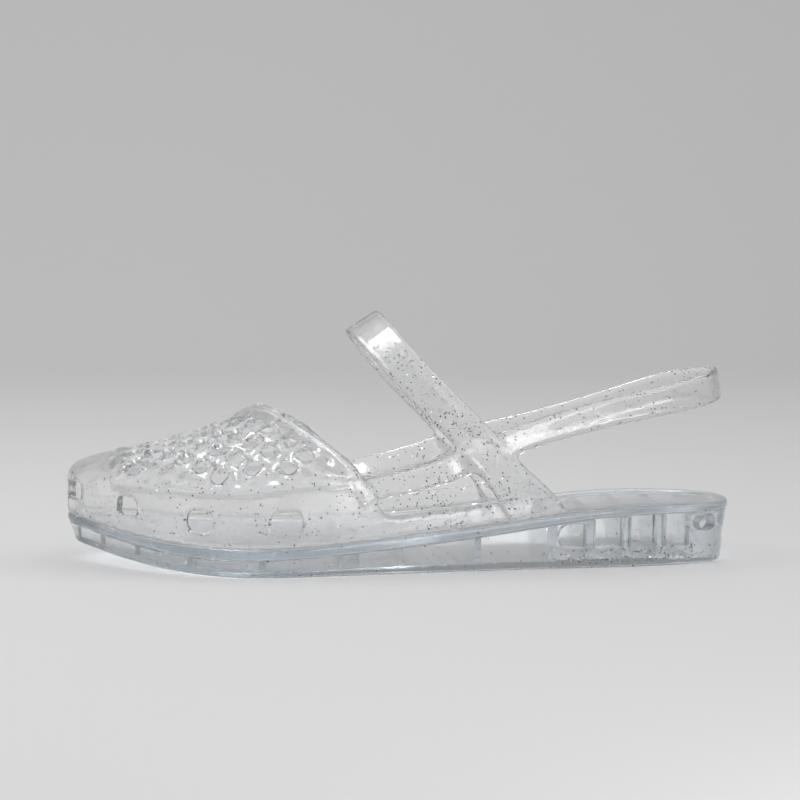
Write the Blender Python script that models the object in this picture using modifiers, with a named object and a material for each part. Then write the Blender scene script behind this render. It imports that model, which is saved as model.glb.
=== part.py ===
"""Clear moulded jelly sandal for a left foot, women's European size 37 to 38.

Three pieces are moulded and put together: a hollow sole unit with cross ribs and a low
heel, a footbed plate that closes it, and an upper of one piece with a woven vamp, a
throat rim, an instep strap and a heel strap that cross at each side.

The sizes below are in millimetres and the meshes are written in metres. Along the shoe,
from_heel runs from the back of the heel towards the toe. Across it, the outer side of
the foot is negative and the inner side positive. Heights start at the floor.
"""

import math

import bmesh
import bpy
import numpy as np
from mathutils import Vector
from mathutils.geometry import delaunay_2d_cdt

MM = 0.001

# Main sizes
SOLE_LENGTH = 245.0
MIDDLE_LINE = 0.4
FIT_GAP = 0.3
SKIRT_WALL = 2.4
SKIRT_SLANT = 2.6
TREAD_WALL = 3.0
HEEL_WALL = 10.0
HEEL_WINDOW_DEPTH = 6.6
UPPER_WALL = 2.0

# Edge of the footbed, once round: (from_heel, across)
FOOTBED_EDGE = [
    (0.0, 0.0), (1.5, -9.5), (6.0, -16.9), (16.0, -22.3), (35.0, -27.1), (60.0, -29.7),
    (90.0, -32.9), (120.0, -36.9), (150.0, -41.9), (175.0, -43.8), (195.0, -39.2),
    (212.0, -29.5), (227.0, -15.6), (237.0, -2.4), (243.2, 6.2), (245.0, 13.0),
    (243.0, 19.6), (238.0, 25.6), (231.0, 30.9), (220.0, 37.3), (205.0, 42.7), (190.0, 44.8),
    (175.0, 42.9), (150.0, 34.7), (120.0, 26.5), (90.0, 25.6), (60.0, 28.5), (35.0, 28.7),
    (15.0, 24.3), (5.0, 16.5), (1.3, 9.0),
]

# Sole from the side: (from_heel, top of footbed, footbed thickness)
SOLE_SIDE = [
    (0.0, 22.5, 3.0), (50.0, 21.6, 3.2), (100.0, 16.1, 3.8), (135.0, 12.9, 4.0),
    (165.0, 10.8, 4.0), (200.0, 11.5, 4.0), (245.0, 17.7, 3.0),
]

# Toe spring of the tread
SPRING_START = 177.0
SPRING_RISE = 7.7
SPRING_POWER = 1.8

# Cross ribs of the sole unit: (from_heel, thickness)
RIBS = [
    (69.0, 3.8), (96.7, 2.4), (125.0, 1.8), (140.7, 1.8), (146.7, 1.8), (174.0, 2.2),
    (199.0, 2.2), (217.5, 1.8), (230.0, 1.8),
]

# Cross ribs of the heel, one behind each post between two windows: (from_heel, thickness)
HEEL_RIBS = [(15.4, 4.0), (28.3, 3.4), (41.4, 3.0), (55.0, 3.2)]

# Recessed windows along each side of the heel, seen from the side:
# (rear end, front end, sill, top, rounding at the rear, rounding at the front)
HEEL_WINDOWS = [
    (6.6, 13.4, 12.2, 18.6, 3.1, 3.1), (17.4, 26.6, 7.3, 30.0, 0.8, 0.8),
    (30.0, 39.9, 7.3, 30.0, 0.8, 0.8), (42.9, 53.4, 7.3, 30.0, 0.8, 0.8),
    (56.6, 66.9, 7.3, 16.6, 0.8, 4.5),
]
WINDOW_CORNER_STEPS = 3

# Forefoot of the last: (from_heel, ridge height, rand top, line of the ridge across)
VAMP = [
    (100.0, 50.0, 34.4, -1.0), (150.0, 52.8, 34.4, 0.5), (165.0, 55.4, 33.2, 1.5),
    (175.0, 56.6, 31.8, 1.8), (178.0, 55.4, 31.5, 2.0), (183.0, 53.0, 31.3, 2.4),
    (192.0, 48.8, 31.3, 3.4), (206.0, 44.2, 31.8, 5.0), (220.0, 41.0, 32.0, 7.5),
    (228.0, 40.0, 31.9, 9.0), (245.0, 39.6, 31.0, 11.0),
]
TOE_CENTRE = 205.0
TOE_ROUND_START = 215.0
RAND_INSET = 0.8
RAND_TOP_INSET = 1.7

# Rails that run back from the throat to the feet of the instep strap
RAIL_HEIGHT = 7.8
RAIL_REAR = 78.0
RAIL_INNER_SHIFT = 2.5
RAIL_OVERLAP = 4.0

# Throat edge down one side: (from_heel, share of the way down)
# The share is 0 on the ridge, 1 at the top of the rand and 2 on the footbed.
THROAT = [
    (175.0, 0.0), (174.1, 0.10), (171.4, 0.19), (167.2, 0.29), (162.8, 0.39),
    (158.3, 0.50), (151.2, 0.68), (145.3, 0.84), (140.3, 0.96), (136.6, 1.08),
    (134.3, 1.27), (132.6, 1.48), (130.4, 1.60),
]
INNER_SIDE_SHIFT = 6.0
RIM_WIDTH = 5.5

# Relief of the upper above its thin web
RIM_RELIEF = 1.6
RAND_RELIEF = 0.9
CROSSING_RELIEF = 1.3
STRIP_RELIEF = 0.8
HOLE_EDGE_RELIEF = 0.2

# Weave of the vamp: strips run both ways at this angle to the line of the foot
WEAVE_ANGLE = math.radians(46.0)
WEAVE_PITCH = 8.7
STRIP_WIDTH = 3.5
TOE_CAP_START = 227.0

# Cut-outs of the rand: (middle measured round the toe, width, sill, height)
# The measure is 0 at the tip of the toe, negative along the outer side.
RAND_WINDOWS = [
    (-104.4, 11.5, 5.2, 7.6), (-72.5, 10.0, 5.2, 7.4), (-40.5, 9.5, 5.6, 7.0),
    (-8.5, 9.0, 5.8, 6.6), (23.5, 9.5, 5.6, 7.0), (55.5, 10.0, 5.2, 7.4),
    (87.5, 11.5, 5.2, 7.6),
]

# Instep strap, up the outer side, over the foot and down the inner side:
# (from_heel, across, height, width, wall)
INSTEP_STRAP = [
    (70.4, -29.6, 14.2, 21.0, 3.8), (76.6, -30.2, 22.5, 18.5, 3.8), (84.7, -31.9, 32.1, 15.2, 3.0),
    (94.7, -33.2, 44.0, 14.5, 2.8), (104.5, -31.4, 54.6, 13.5, 2.6), (114.4, -28.0, 64.6, 13.5, 2.6),
    (124.4, -20.0, 75.4, 13.5, 2.6), (131.8, -10.5, 84.0, 13.9, 2.6), (135.8, 1.0, 88.2, 14.2, 2.6),
    (133.4, 12.5, 84.0, 13.9, 2.6), (126.6, 20.5, 75.4, 13.5, 2.6), (116.9, 26.2, 64.6, 13.5, 2.6),
    (107.0, 28.4, 54.6, 13.5, 2.6), (97.2, 28.4, 44.0, 14.5, 2.8), (87.2, 26.0, 32.1, 15.2, 3.4),
    (79.1, 24.3, 22.5, 18.5, 4.0), (72.9, 23.9, 14.2, 21.0, 4.0),
]
INSTEP_CENTRE = (112.0, 0.0, 50.0)

# Heel strap, from the outer side of the vamp round the heel to its inner side
HEEL_STRAP = [
    (140.0, -38.9, 30.2, 9.0, 2.6), (125.2, -37.2, 33.2, 9.0, 2.6), (107.5, -34.6, 37.7, 9.5, 2.5),
    (94.7, -32.6, 42.7, 10.0, 2.4), (82.6, -31.0, 47.3, 9.8, 2.4), (72.4, -29.7, 50.6, 9.8, 2.4),
    (59.6, -28.2, 54.0, 10.0, 2.4), (47.7, -26.7, 56.8, 10.2, 2.4), (33.5, -24.2, 59.6, 10.5, 2.4),
    (19.9, -20.0, 62.0, 11.0, 2.4), (10.1, -13.8, 64.0, 11.4, 2.4), (4.2, 0.3, 65.4, 11.6, 2.4),
    (10.1, 14.2, 64.0, 11.4, 2.4), (19.9, 20.0, 62.0, 11.0, 2.4), (33.5, 23.0, 58.0, 10.5, 2.4),
    (48.0, 24.2, 53.6, 10.2, 2.4), (61.0, 25.0, 49.9, 10.0, 2.4), (74.5, 25.9, 46.6, 9.8, 2.4),
    (85.0, 26.8, 44.2, 9.8, 2.4), (97.2, 27.9, 41.0, 10.0, 2.4), (110.0, 28.0, 36.8, 9.5, 2.5),
    (129.0, 28.7, 32.0, 9.0, 2.6), (147.0, 33.0, 29.2, 9.0, 2.6),
]
HEEL_CENTRE = (50.0, 0.0, 58.0)


def smooth_through(keys, values, at):
    """Read a smooth curve through the rows of a table, flat beyond its ends."""
    keys = np.asarray(keys, float)
    values = np.asarray(values, float)
    at = np.clip(np.asarray(at, float), keys[0], keys[-1])
    slopes = np.gradient(values, keys)
    place = np.clip(np.searchsorted(keys, at) - 1, 0, len(keys) - 2)
    span = keys[place + 1] - keys[place]
    part = (at - keys[place]) / span
    rest = 1.0 - part
    start = values[place] * (1 + 2 * part) * rest**2 + slopes[place] * span * part * rest**2
    end = values[place + 1] * (3 - 2 * part) * part**2
    return start + end - slopes[place + 1] * span * part**2 * rest


def column(table, number):
    return [row[number] for row in table]


def footbed_top(from_heel):
    return smooth_through(column(SOLE_SIDE, 0), column(SOLE_SIDE, 1), from_heel)


def footbed_under(from_heel):
    depth = smooth_through(column(SOLE_SIDE, 0), column(SOLE_SIDE, 2), from_heel)
    return footbed_top(from_heel) - depth


def tread_under(from_heel):
    past = np.clip((np.asarray(from_heel) - SPRING_START) / (SOLE_LENGTH - SPRING_START), 0, 1)
    return SPRING_RISE * past**SPRING_POWER


def dense_edge(points, steps=24):
    """Round a closed table of points with a centripetal Catmull-Rom curve."""
    points = np.asarray(points, float)
    count = len(points)
    curve = []
    for i in range(count):
        p0, p1, p2, p3 = (points[(i + k) % count] for k in (-1, 0, 1, 2))
        d1, d2, d3 = (np.linalg.norm(b - a) ** 0.5 for a, b in ((p0, p1), (p1, p2), (p2, p3)))
        m1 = d2 * ((p1 - p0) / d1 - (p2 - p0) / (d1 + d2)) + (p2 - p1)
        m2 = d2 * ((p3 - p2) / d3 - (p3 - p1) / (d2 + d3)) + (p2 - p1)
        for part in np.arange(steps) / steps:
            rest = 1 - part
            curve.append(p1 * (1 + 2 * part) * rest**2 + p2 * (3 - 2 * part) * part**2
                         + m1 * part * rest**2 - m2 * part**2 * rest)
    return np.array(curve)


EDGE = dense_edge(FOOTBED_EDGE)
EDGE_ALONG = np.roll(EDGE, -1, 0) - np.roll(EDGE, 1, 0)
EDGE_OUT = np.stack([-EDGE_ALONG[:, 1], EDGE_ALONG[:, 0]], 1)
EDGE_OUT /= -np.linalg.norm(EDGE_OUT, axis=1)[:, None]
TIP = int(np.argmax(EDGE[:, 0]))


def side_line(side, inset):
    """Points of one side's edge, moved in by the inset, from heel to toe."""
    moved = EDGE - EDGE_OUT * inset
    if side < 0:
        return moved[: TIP + 1]
    return np.vstack([moved[:1], moved[:TIP - 1:-1]])


def across_at(from_heel, side, inset):
    line = side_line(side, inset)
    order = np.maximum.accumulate(line[:, 0] + np.arange(len(line)) * 1e-7)
    return np.interp(from_heel, order, line[:, 1])


def ring_stations(start, end, count):
    """Stations along the shoe, closer together at both ends."""
    turn = np.linspace(0, math.pi, count)
    return start + (end - start) * (1 - np.cos(turn)) / 2


def round_ring(inset, count=37):
    """One closed ring of (from_heel, across), inset from the footbed edge."""
    outer = side_line(-1, inset)
    inner = side_line(1, inset)
    heel, toe = outer[0], outer[-1]
    stations = ring_stations(heel[0], toe[0], count)[1:-1]
    left = [(t, across_at(t, -1, inset)) for t in stations]
    right = [(t, across_at(t, 1, inset)) for t in stations]
    return [tuple(heel)] + left + [tuple(toe)] + right[::-1]


def world(from_heel, across, height):
    return Vector(((SOLE_LENGTH / 2 - from_heel) * MM, (across - MIDDLE_LINE) * MM, height * MM))


def new_object(name, vertices, faces, collection):
    mesh = bpy.data.meshes.new(name)
    mesh.from_pydata([tuple(v) for v in vertices], [], faces)
    built = bmesh.new()
    built.from_mesh(mesh)
    bmesh.ops.recalc_face_normals(built, faces=built.faces)
    built.to_mesh(mesh)
    built.free()
    item = bpy.data.objects.new(name, mesh)
    collection.objects.link(item)
    return item


def loft_rings(rings, across_caps):
    """Faces of a solid through equal closed rings, each cap ruled or one polygon."""
    count = len(rings[0])
    faces = []
    for level in range(len(rings) - 1):
        low = level * count
        high = low + count
        for i in range(count):
            j = (i + 1) % count
            faces.append((low + i, low + j, high + j, high + i))
    for base in (0, (len(rings) - 1) * count):
        if not across_caps:
            faces.append(tuple(base + i for i in range(count)))
            continue
        faces.append((base, base + 1, base + count - 1))
        for i in range(1, count // 2 - 1):
            faces.append((base + i, base + i + 1, base + count - i - 1, base + count - i))
        faces.append((base + count // 2 - 1, base + count // 2, base + count // 2 + 1))
    return faces


def ruled_solid(name, levels, collection):
    """A solid through rings given as (inset, height function), bottom to top."""
    rings = []
    for inset, height in levels:
        rings.append([world(t, y, float(height(t))) for t, y in round_ring(inset)])
    vertices = [point for ring in rings for point in ring]
    return new_object(name, vertices, loft_rings(rings, True), collection)


def make_footbed(collection):
    """Plate with a rounded edge and a shallow tray where the foot lies."""
    levels = [
        (1.0, footbed_under),
        (0.0, lambda t: footbed_under(t) + 0.9),
        (0.0, lambda t: footbed_top(t) - 0.6),
        (0.5, footbed_top),
        (5.0, footbed_top),
        (6.5, lambda t: footbed_top(t) - 0.8),
    ]
    return ruled_solid("footbed", levels, collection)


def chamber(rear, front, wall, floor, ceiling):
    """Prism between two stations, inside the skirt, for hollowing the sole unit."""
    count = max(3, int((front - rear) / 5.0) + 1)
    stations = np.linspace(rear, front, count)
    rings = []
    for height, inset in ((floor, wall + SKIRT_SLANT), (ceiling, wall + 0.6)):
        left = [(t, across_at(t, -1, inset)) for t in stations]
        right = [(t, across_at(t, 1, inset)) for t in stations]
        rings.append([world(t, y, float(height(t))) for t, y in left + right[::-1]])
    vertices = [point for ring in rings for point in ring]
    size = 2 * count
    faces = []
    for i in range(size):
        j = (i + 1) % size
        faces.append((i, j, size + j, size + i))
    for base in (0, size):
        for i in range(count - 1):
            faces.append((base + i, base + i + 1, base + size - i - 2, base + size - i - 1))
    return vertices, faces


def heel_window(rear, front, sill, top, rear_round, front_round, side):
    """Prism with rounded corners that cuts one recess square into the side of the heel."""
    line = side_line(side, 0.0)
    inward = side_line(side, 1.0) - line
    keys = line[:, 0] + np.arange(len(line)) * 1e-7
    middle = (rear + front) / 2
    point = np.array([np.interp(middle, keys, line[:, k]) for k in (0, 1)])
    way = np.array([np.interp(middle, keys, inward[:, k]) for k in (0, 1)])
    forward = np.array([abs(way[1]), -way[0] * math.copysign(1.0, way[1])])
    outline = []
    for t, height, radius, first in ((rear, sill, rear_round, 180), (front, sill, front_round, 270),
                                     (front, top, front_round, 0), (rear, top, rear_round, 90)):
        centre_t = t + math.copysign(radius, middle - t)
        centre_height = height + math.copysign(radius, sill + top - 2 * height)
        for step in range(WINDOW_CORNER_STEPS + 1):
            angle = math.radians(first + 90.0 * step / WINDOW_CORNER_STEPS)
            outline.append((centre_t + radius * math.cos(angle) - middle,
                            centre_height + radius * math.sin(angle)))
    vertices = []
    for reach in (-4.0, HEEL_WINDOW_DEPTH):
        for ahead, height in outline:
            spot = point + forward * ahead / forward[0] + way * reach
            vertices.append(world(spot[0], spot[1], height))
    size = len(outline)
    faces = [tuple(range(size)), tuple(range(size, 2 * size))]
    for i in range(size):
        j = (i + 1) % size
        faces.append((i, j, size + j, size + i))
    return vertices, faces


def joined(name, pieces, collection):
    """One object of several closed pieces that lie apart."""
    vertices, faces = [], []
    for points, sides in pieces:
        start = len(vertices)
        vertices += points
        faces += [tuple(start + i for i in side) for side in sides]
    return new_object(name, vertices, faces, collection)


def boolean(item, tool, operation, solver="EXACT"):
    cut = item.modifiers.new(operation.title() + " " + tool.name, "BOOLEAN")
    cut.operation = operation
    cut.solver = solver
    cut.object = tool
    tool.hide_render = True
    tool.display_type = "WIRE"
    return cut


def make_outsole(collection, tools):
    """Tray with a slanted skirt, cross ribs and a heel with recessed windows."""
    levels = [
        (SKIRT_SLANT + 1.2, tread_under),
        (SKIRT_SLANT, lambda t: tread_under(t) + 1.2),
        (0.6, lambda t: footbed_under(t) - FIT_GAP),
    ]
    outsole = ruled_solid("outsole", levels, collection)
    above = lambda t: footbed_under(t) + 3.0
    floor = lambda t: tread_under(t) + TREAD_WALL
    pieces = []
    ribs = HEEL_RIBS + RIBS
    for (rear, rear_wall), (front, front_wall) in zip(ribs, ribs[1:]):
        wall = HEEL_WALL - SKIRT_SLANT if front <= RIBS[0][0] else SKIRT_WALL
        pieces.append(chamber(rear + rear_wall / 2, front - front_wall / 2, wall, floor, above))
    last, last_wall = RIBS[-1]
    pieces.append(chamber(last + last_wall / 2, SOLE_LENGTH - 6.5, SKIRT_WALL, floor, above))
    boolean(outsole, joined("sole_chambers", pieces, tools), "DIFFERENCE")
    windows = [heel_window(*row, side) for side in (-1, 1) for row in HEEL_WINDOWS]
    boolean(outsole, joined("heel_windows", windows, tools), "DIFFERENCE")
    return outsole


# Surface of the forefoot


def round_the_toe():
    """Edge points from the outer side round the toe to the inner side."""
    start = int(np.argmax(EDGE[:TIP, 0] > RAIL_REAR - 12.0))
    end = len(EDGE) - int(np.argmax(EDGE[::-1, 0] > RAIL_REAR - 12.0))
    return EDGE[start:end], EDGE_OUT[start:end]


ROUND, ROUND_OUT = round_the_toe()
STEP = np.linalg.norm(np.diff(ROUND, axis=0), axis=1)
AROUND = np.concatenate([[0.0], np.cumsum(STEP)])
AROUND -= AROUND[int(np.argmax(ROUND[:, 0]))]
TOE_SHARE = np.clip((ROUND[:, 0] - TOE_ROUND_START) / (SOLE_LENGTH - TOE_ROUND_START), 0.0, 1.0)
TOP_INSET = RAND_TOP_INSET + (RAND_INSET - RAND_TOP_INSET) * TOE_SHARE
RAND_TOP = ROUND - ROUND_OUT * TOP_INSET[:, None]
OUTER_HALF = RAND_TOP[AROUND <= 0]
INNER_HALF = RAND_TOP[AROUND >= 0][::-1]


def vamp_row(number, from_heel):
    return smooth_through(column(VAMP, 0), column(VAMP, number), from_heel)


def half_width(from_heel, side):
    line = OUTER_HALF if side < 0 else INNER_HALF
    edge = np.interp(from_heel, line[:, 0], line[:, 1])
    return np.abs(edge - vamp_row(3, from_heel))


def toe_reach(angle):
    """How far the rand lies from the toe's centre in a direction."""
    centre = np.array([TOE_CENTRE, float(vamp_row(3, TOE_CENTRE))])
    away = RAND_TOP - centre
    bearings = np.arctan2(away[:, 1], away[:, 0])
    reach = np.linalg.norm(away, axis=1)
    front = np.abs(bearings) < 2.2
    order = np.argsort(bearings[front])
    return np.interp(angle, bearings[front][order], reach[front][order])


def dome_height(from_heel, across):
    """Height of the outer face of the web over the forefoot."""
    from_heel = np.asarray(from_heel, float)
    across = np.asarray(across, float)
    ridge_line = vamp_row(3, from_heel)
    side = np.where(across < ridge_line, -1, 1)
    width = np.where(side < 0, half_width(from_heel, -1), half_width(from_heel, 1))
    out = np.abs(across - ridge_line) / width
    centre_line = float(vamp_row(3, TOE_CENTRE))
    bearing = np.arctan2(across - centre_line, from_heel - TOE_CENTRE)
    reach = np.hypot(across - centre_line, from_heel - TOE_CENTRE)
    blend = np.clip((from_heel - TOE_CENTRE) / 8.0, 0.0, 1.0)
    out = out * (1 - blend) + reach / toe_reach(bearing) * blend
    out = np.clip(out, 0.0, 1.0)
    fuller = np.clip((from_heel - 180.0) / 38.0, 0.0, 1.0)
    inside = 1.8 + 2.0 * fuller
    outside = 1.5 + 0.5 * fuller
    low = vamp_row(2, from_heel)
    rise = (1 - out**inside) ** (1 / outside)
    return low + (vamp_row(1, from_heel) - low) * rise


def girth_table(from_heel, side):
    """Shares and girths down one section, from the ridge over the rand to the footbed."""
    shares = 1 - np.linspace(1, 0, 40) ** 1.6
    across = vamp_row(3, from_heel) + side * shares * half_width(from_heel, side)
    heights = dome_height(np.full(40, float(from_heel)), across)
    steps = np.hypot(np.diff(across), np.diff(heights))
    girth = np.concatenate([[0.0], np.cumsum(steps)])
    rand = float(vamp_row(2, from_heel) - footbed_top(from_heel))
    return np.append(shares, 2.2), np.append(girth, girth[-1] + rand * 1.2)


def share_at(from_heel, girth):
    shares, girths = girth_table(from_heel, -1 if girth < 0 else 1)
    return float(np.interp(abs(girth), girths, shares))


def girth_at(from_heel, share, side):
    shares, girths = girth_table(from_heel, side)
    return side * float(np.interp(share, shares, girths))


def on_rand(around, up):
    """Point of the rand: its place on the flat pattern and in the world."""
    spot = np.array([np.interp(around, AROUND, ROUND[:, k]) for k in (0, 1)])
    out = np.array([np.interp(around, AROUND, ROUND_OUT[:, k]) for k in (0, 1)])
    top = np.array([np.interp(around, AROUND, RAND_TOP[:, k]) for k in (0, 1)])
    tall = float(vamp_row(2, spot[0]) - footbed_top(spot[0]))
    share = up / tall
    low = spot - out * RAND_INSET
    place = low + (top - low) * min(share, 1.0)
    flat = top + out * (tall - up)
    return flat, (place[0], place[1], float(footbed_top(spot[0])) + up)


def around_at(from_heel, side):
    if side < 0:
        half = AROUND <= 0
        return float(np.interp(from_heel, RAND_TOP[half][:, 0], AROUND[half]))
    half = AROUND >= 0
    return float(np.interp(-from_heel, -RAND_TOP[half][:, 0], AROUND[half]))


def on_last(from_heel, share, side):
    """Point of the upper's web by its station and its share of the way down."""
    if share <= 1.0:
        across = float(vamp_row(3, from_heel) + side * share * half_width(from_heel, side))
        height = float(dome_height(from_heel, across))
        return np.array([from_heel, across]), (from_heel, across, height)
    around = around_at(from_heel, side)
    spot = float(np.interp(around, AROUND, ROUND[:, 0]))
    tall = float(vamp_row(2, spot) - footbed_top(spot))
    return on_rand(around, tall * (2.0 - share))


class Pattern:
    """Points and lines of the flat pattern, with their places on the last."""

    def __init__(self):
        self.flat = []
        self.place = []
        self.relief = []
        self.lines = []
        self.holes = []

    def add(self, spot, relief):
        self.flat.append(spot[0])
        self.place.append(spot[1])
        self.relief.append(relief)
        return len(self.flat) - 1

    def line(self, spots, reliefs, closed=False):
        ids = [self.add(spot, relief) for spot, relief in zip(spots, reliefs)]
        self.lines += list(zip(ids, ids[1:]))
        if closed:
            self.lines.append((ids[-1], ids[0]))
        return ids

    def hole(self, spots, relief):
        ids = self.line(spots, [relief] * len(spots), True)
        self.holes.append([self.flat[i] for i in ids])

    def fill_in(self, spot, relief, clear):
        """Add a loose point unless another point or a hole is too near."""
        near = np.linalg.norm(np.array(self.flat) - spot[0], axis=1).min()
        if near < clear or any(inside(spot[0], hole) for hole in self.holes):
            return
        self.add(spot, relief)


def inside(point, outline):
    """Whether a point of the flat pattern lies inside a closed outline."""
    outline = np.asarray(outline)
    after = np.roll(outline, -1, 0)
    crosses = (outline[:, 1] > point[1]) != (after[:, 1] > point[1])
    rise = np.where(crosses, after[:, 1] - outline[:, 1], 1.0)
    at = outline[:, 0] + (point[1] - outline[:, 1]) / rise * (after[:, 0] - outline[:, 0])
    return bool(np.count_nonzero(crosses & (point[0] < at)) % 2)


def throat_line(offset):
    """Throat edge from the inner foot of the rim to the outer one, moved forward."""
    points = []
    for side in (1, -1):
        shift = INNER_SIDE_SHIFT if side > 0 else 0.0
        rows = []
        for t, share in THROAT:
            moved = t + shift * min(share, 1.0)
            rows.append((moved, girth_at(moved, share, side)))
        points += rows[::-1] if side > 0 else rows[1:]
    points = np.array(points)
    if offset:
        along = np.gradient(points, axis=0)
        ahead = np.stack([-along[:, 1], along[:, 0]], 1)
        ahead /= np.linalg.norm(ahead, axis=1)[:, None]
        points = points + ahead * offset
    return points


def spot_at(from_heel, girth):
    side = -1 if girth < 0 else 1
    return on_last(from_heel, share_at(from_heel, girth), side)


def rounded_cell(centre, half, corner):
    """Eight points of a square with cut corners, turned into the weave's directions."""
    points = []
    for a, b in ((1, 0), (0, 1), (-1, 0), (0, -1)):
        for lean in (-1, 1):
            u = a * half + (lean * -b) * (half - corner)
            v = b * half + (lean * a) * (half - corner)
            points.append((centre[0] + u, centre[1] + v))
    return points


def weave_to_shoe(u, v):
    """From the weave's two directions to station and girth."""
    half = WEAVE_ANGLE
    return TOE_CAP_START - 50.0 + (u + v) * math.cos(half), (u - v) * math.sin(half)


def rand_relief(spot):
    """Relief of the rand, which thins out inside the foot of the instep strap."""
    return RAND_RELIEF * float(np.clip((spot[0][0] - 91.0) / 5.0, 0.0, 1.0))


def make_pattern():
    pattern = Pattern()
    rear_outer = around_at(RAIL_REAR, -1)
    rear_inner = around_at(RAIL_REAR + RAIL_INNER_SHIFT, 1)
    foot_outer, foot_inner = THROAT[-1][0], THROAT[-1][0] + INNER_SIDE_SHIFT
    hem = np.linspace(rear_outer, rear_inner, 76)
    boundary = [on_rand(s, FIT_GAP) for s in hem]
    reliefs = [rand_relief(spot) for spot in boundary]
    rail_inner = np.linspace(rear_inner, around_at(foot_inner - RAIL_OVERLAP, 1), 9)
    rail = [on_rand(rear_inner, 3.0)] + [on_rand(s, RAIL_HEIGHT) for s in rail_inner]
    boundary += rail
    reliefs += [rand_relief(spot) for spot in rail]
    throat = [spot_at(t, g) for t, g in throat_line(0.0)]
    boundary += throat
    reliefs += [RIM_RELIEF] * len(throat)
    rail_outer = np.linspace(around_at(foot_outer - RAIL_OVERLAP, -1), rear_outer, 9)
    rail = [on_rand(s, RAIL_HEIGHT) for s in rail_outer] + [on_rand(rear_outer, 3.0)]
    boundary += rail
    reliefs += [rand_relief(spot) for spot in rail]
    pattern.line(boundary, reliefs, True)
    outline = [spot[0] for spot in boundary]

    # The rim has a raised band along the throat with a step at its front
    for offset, relief in ((2.6, RIM_RELIEF + 0.3), (RIM_WIDTH, RIM_RELIEF), (RIM_WIDTH + 0.9, 0.3)):
        band = [(t, g) for t, g in throat_line(offset) if share_at(t, g) < 1.55]
        pattern.line([spot_at(t, g) for t, g in band], [relief] * len(band))
    rim_front = throat_line(RIM_WIDTH + 0.9)

    # Cut-outs of the rand
    for middle, width, sill, tall in RAND_WINDOWS:
        ring = []
        for a, b in ((-0.5, 0.15), (-0.3, 0.0), (0.3, 0.0), (0.5, 0.15), (0.5, 0.75),
                     (0.3, 1.0), (-0.3, 1.0), (-0.5, 0.75)):
            ring.append(on_rand(middle + a * width, sill + b * tall))
        pattern.hole(ring, RAND_RELIEF)

    # The rand stands proud of the weave along a ledge
    ledge = []
    for s in np.arange(around_at(146.0, -1), around_at(149.0, 1), 5.5):
        spot = float(np.interp(s, AROUND, ROUND[:, 0]))
        tall = float(vamp_row(2, spot) - footbed_top(spot))
        ledge.append(on_rand(s, tall - 0.4))
    pattern.line(ledge, [RAND_RELIEF] * len(ledge))

    # Openings of the weave, where a whole one fits between rim, rand and toe cap
    half = (WEAVE_PITCH - STRIP_WIDTH) / 2
    kept = set()
    for i in range(-14, 14):
        for j in range(-14, 14):
            cell = rounded_cell(((i + 0.5) * WEAVE_PITCH, (j + 0.5) * WEAVE_PITCH), half, half * 0.45)
            ring = [weave_to_shoe(u, v) for u, v in cell]
            if not all(140.0 < t < TOE_CAP_START for t, g in ring):
                continue
            shares = [share_at(t, g) for t, g in ring]
            if max(shares) > 0.985 or not clear_of_rim(ring, rim_front):
                continue
            pattern.hole([spot_at(t, g) for t, g in ring], HOLE_EDGE_RELIEF)
            kept.add((i, j))
    for i, j in sorted(kept):
        for a, b, relief in ((0, 0, CROSSING_RELIEF), (1, 0, CROSSING_RELIEF), (0, 1, CROSSING_RELIEF),
                             (1, 1, CROSSING_RELIEF), (0.5, 0, STRIP_RELIEF), (0, 0.5, STRIP_RELIEF),
                             (0.5, 1, STRIP_RELIEF), (1, 0.5, STRIP_RELIEF)):
            t, g = weave_to_shoe((i + a) * WEAVE_PITCH, (j + b) * WEAVE_PITCH)
            if share_at(t, g) < 0.98 and clear_of_rim([(t, g)], rim_front) and t < TOE_CAP_START:
                pattern.fill_in(spot_at(t, g), relief, 1.2)

    # Loose points that carry the curve of the rand, the shoulder and the toe cap
    for s in np.arange(rear_outer + 3.0, rear_inner - 3.0, 5.5):
        spot = float(np.interp(s, AROUND, ROUND[:, 0]))
        tall = float(vamp_row(2, spot) - footbed_top(spot))
        for up in (3.0, 8.5, 14.5):
            place = on_rand(s, up)
            if up < tall - 2.0 and inside(place[0], outline):
                pattern.fill_in(place, rand_relief(place), 2.6)
    for s in np.arange(around_at(150.0, -1), around_at(153.0, 1), 5.0):
        top = np.array([np.interp(s, AROUND, RAND_TOP[:, k]) for k in (0, 1)])
        centre = np.array([min(top[0], TOE_CENTRE), float(vamp_row(3, min(top[0], TOE_CENTRE)))])
        for share in (0.985, 0.93, 0.85, 0.74, 0.6, 0.45, 0.3):
            spot = centre + (top - centre) * share
            if spot[0] < TOE_CAP_START - 2.0 and share < 0.9:
                continue
            height = float(dome_height(spot[0], spot[1]))
            relief = RAND_RELIEF if spot[0] > TOE_CAP_START else 0.3
            if inside(spot, outline):
                pattern.fill_in((spot, (spot[0], spot[1], height)), relief, 1.5)
    return pattern, outline


def clear_of_rim(ring, rim_front):
    """Whether all points of a ring lie ahead of the rim."""
    outline = np.vstack([rim_front, [(60.0, rim_front[-1][1]), (60.0, rim_front[0][1])]])
    for point in ring:
        if inside(point, outline):
            return False
        if np.linalg.norm(rim_front - np.asarray(point), axis=1).min() < 1.0:
            return False
    return True


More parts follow.
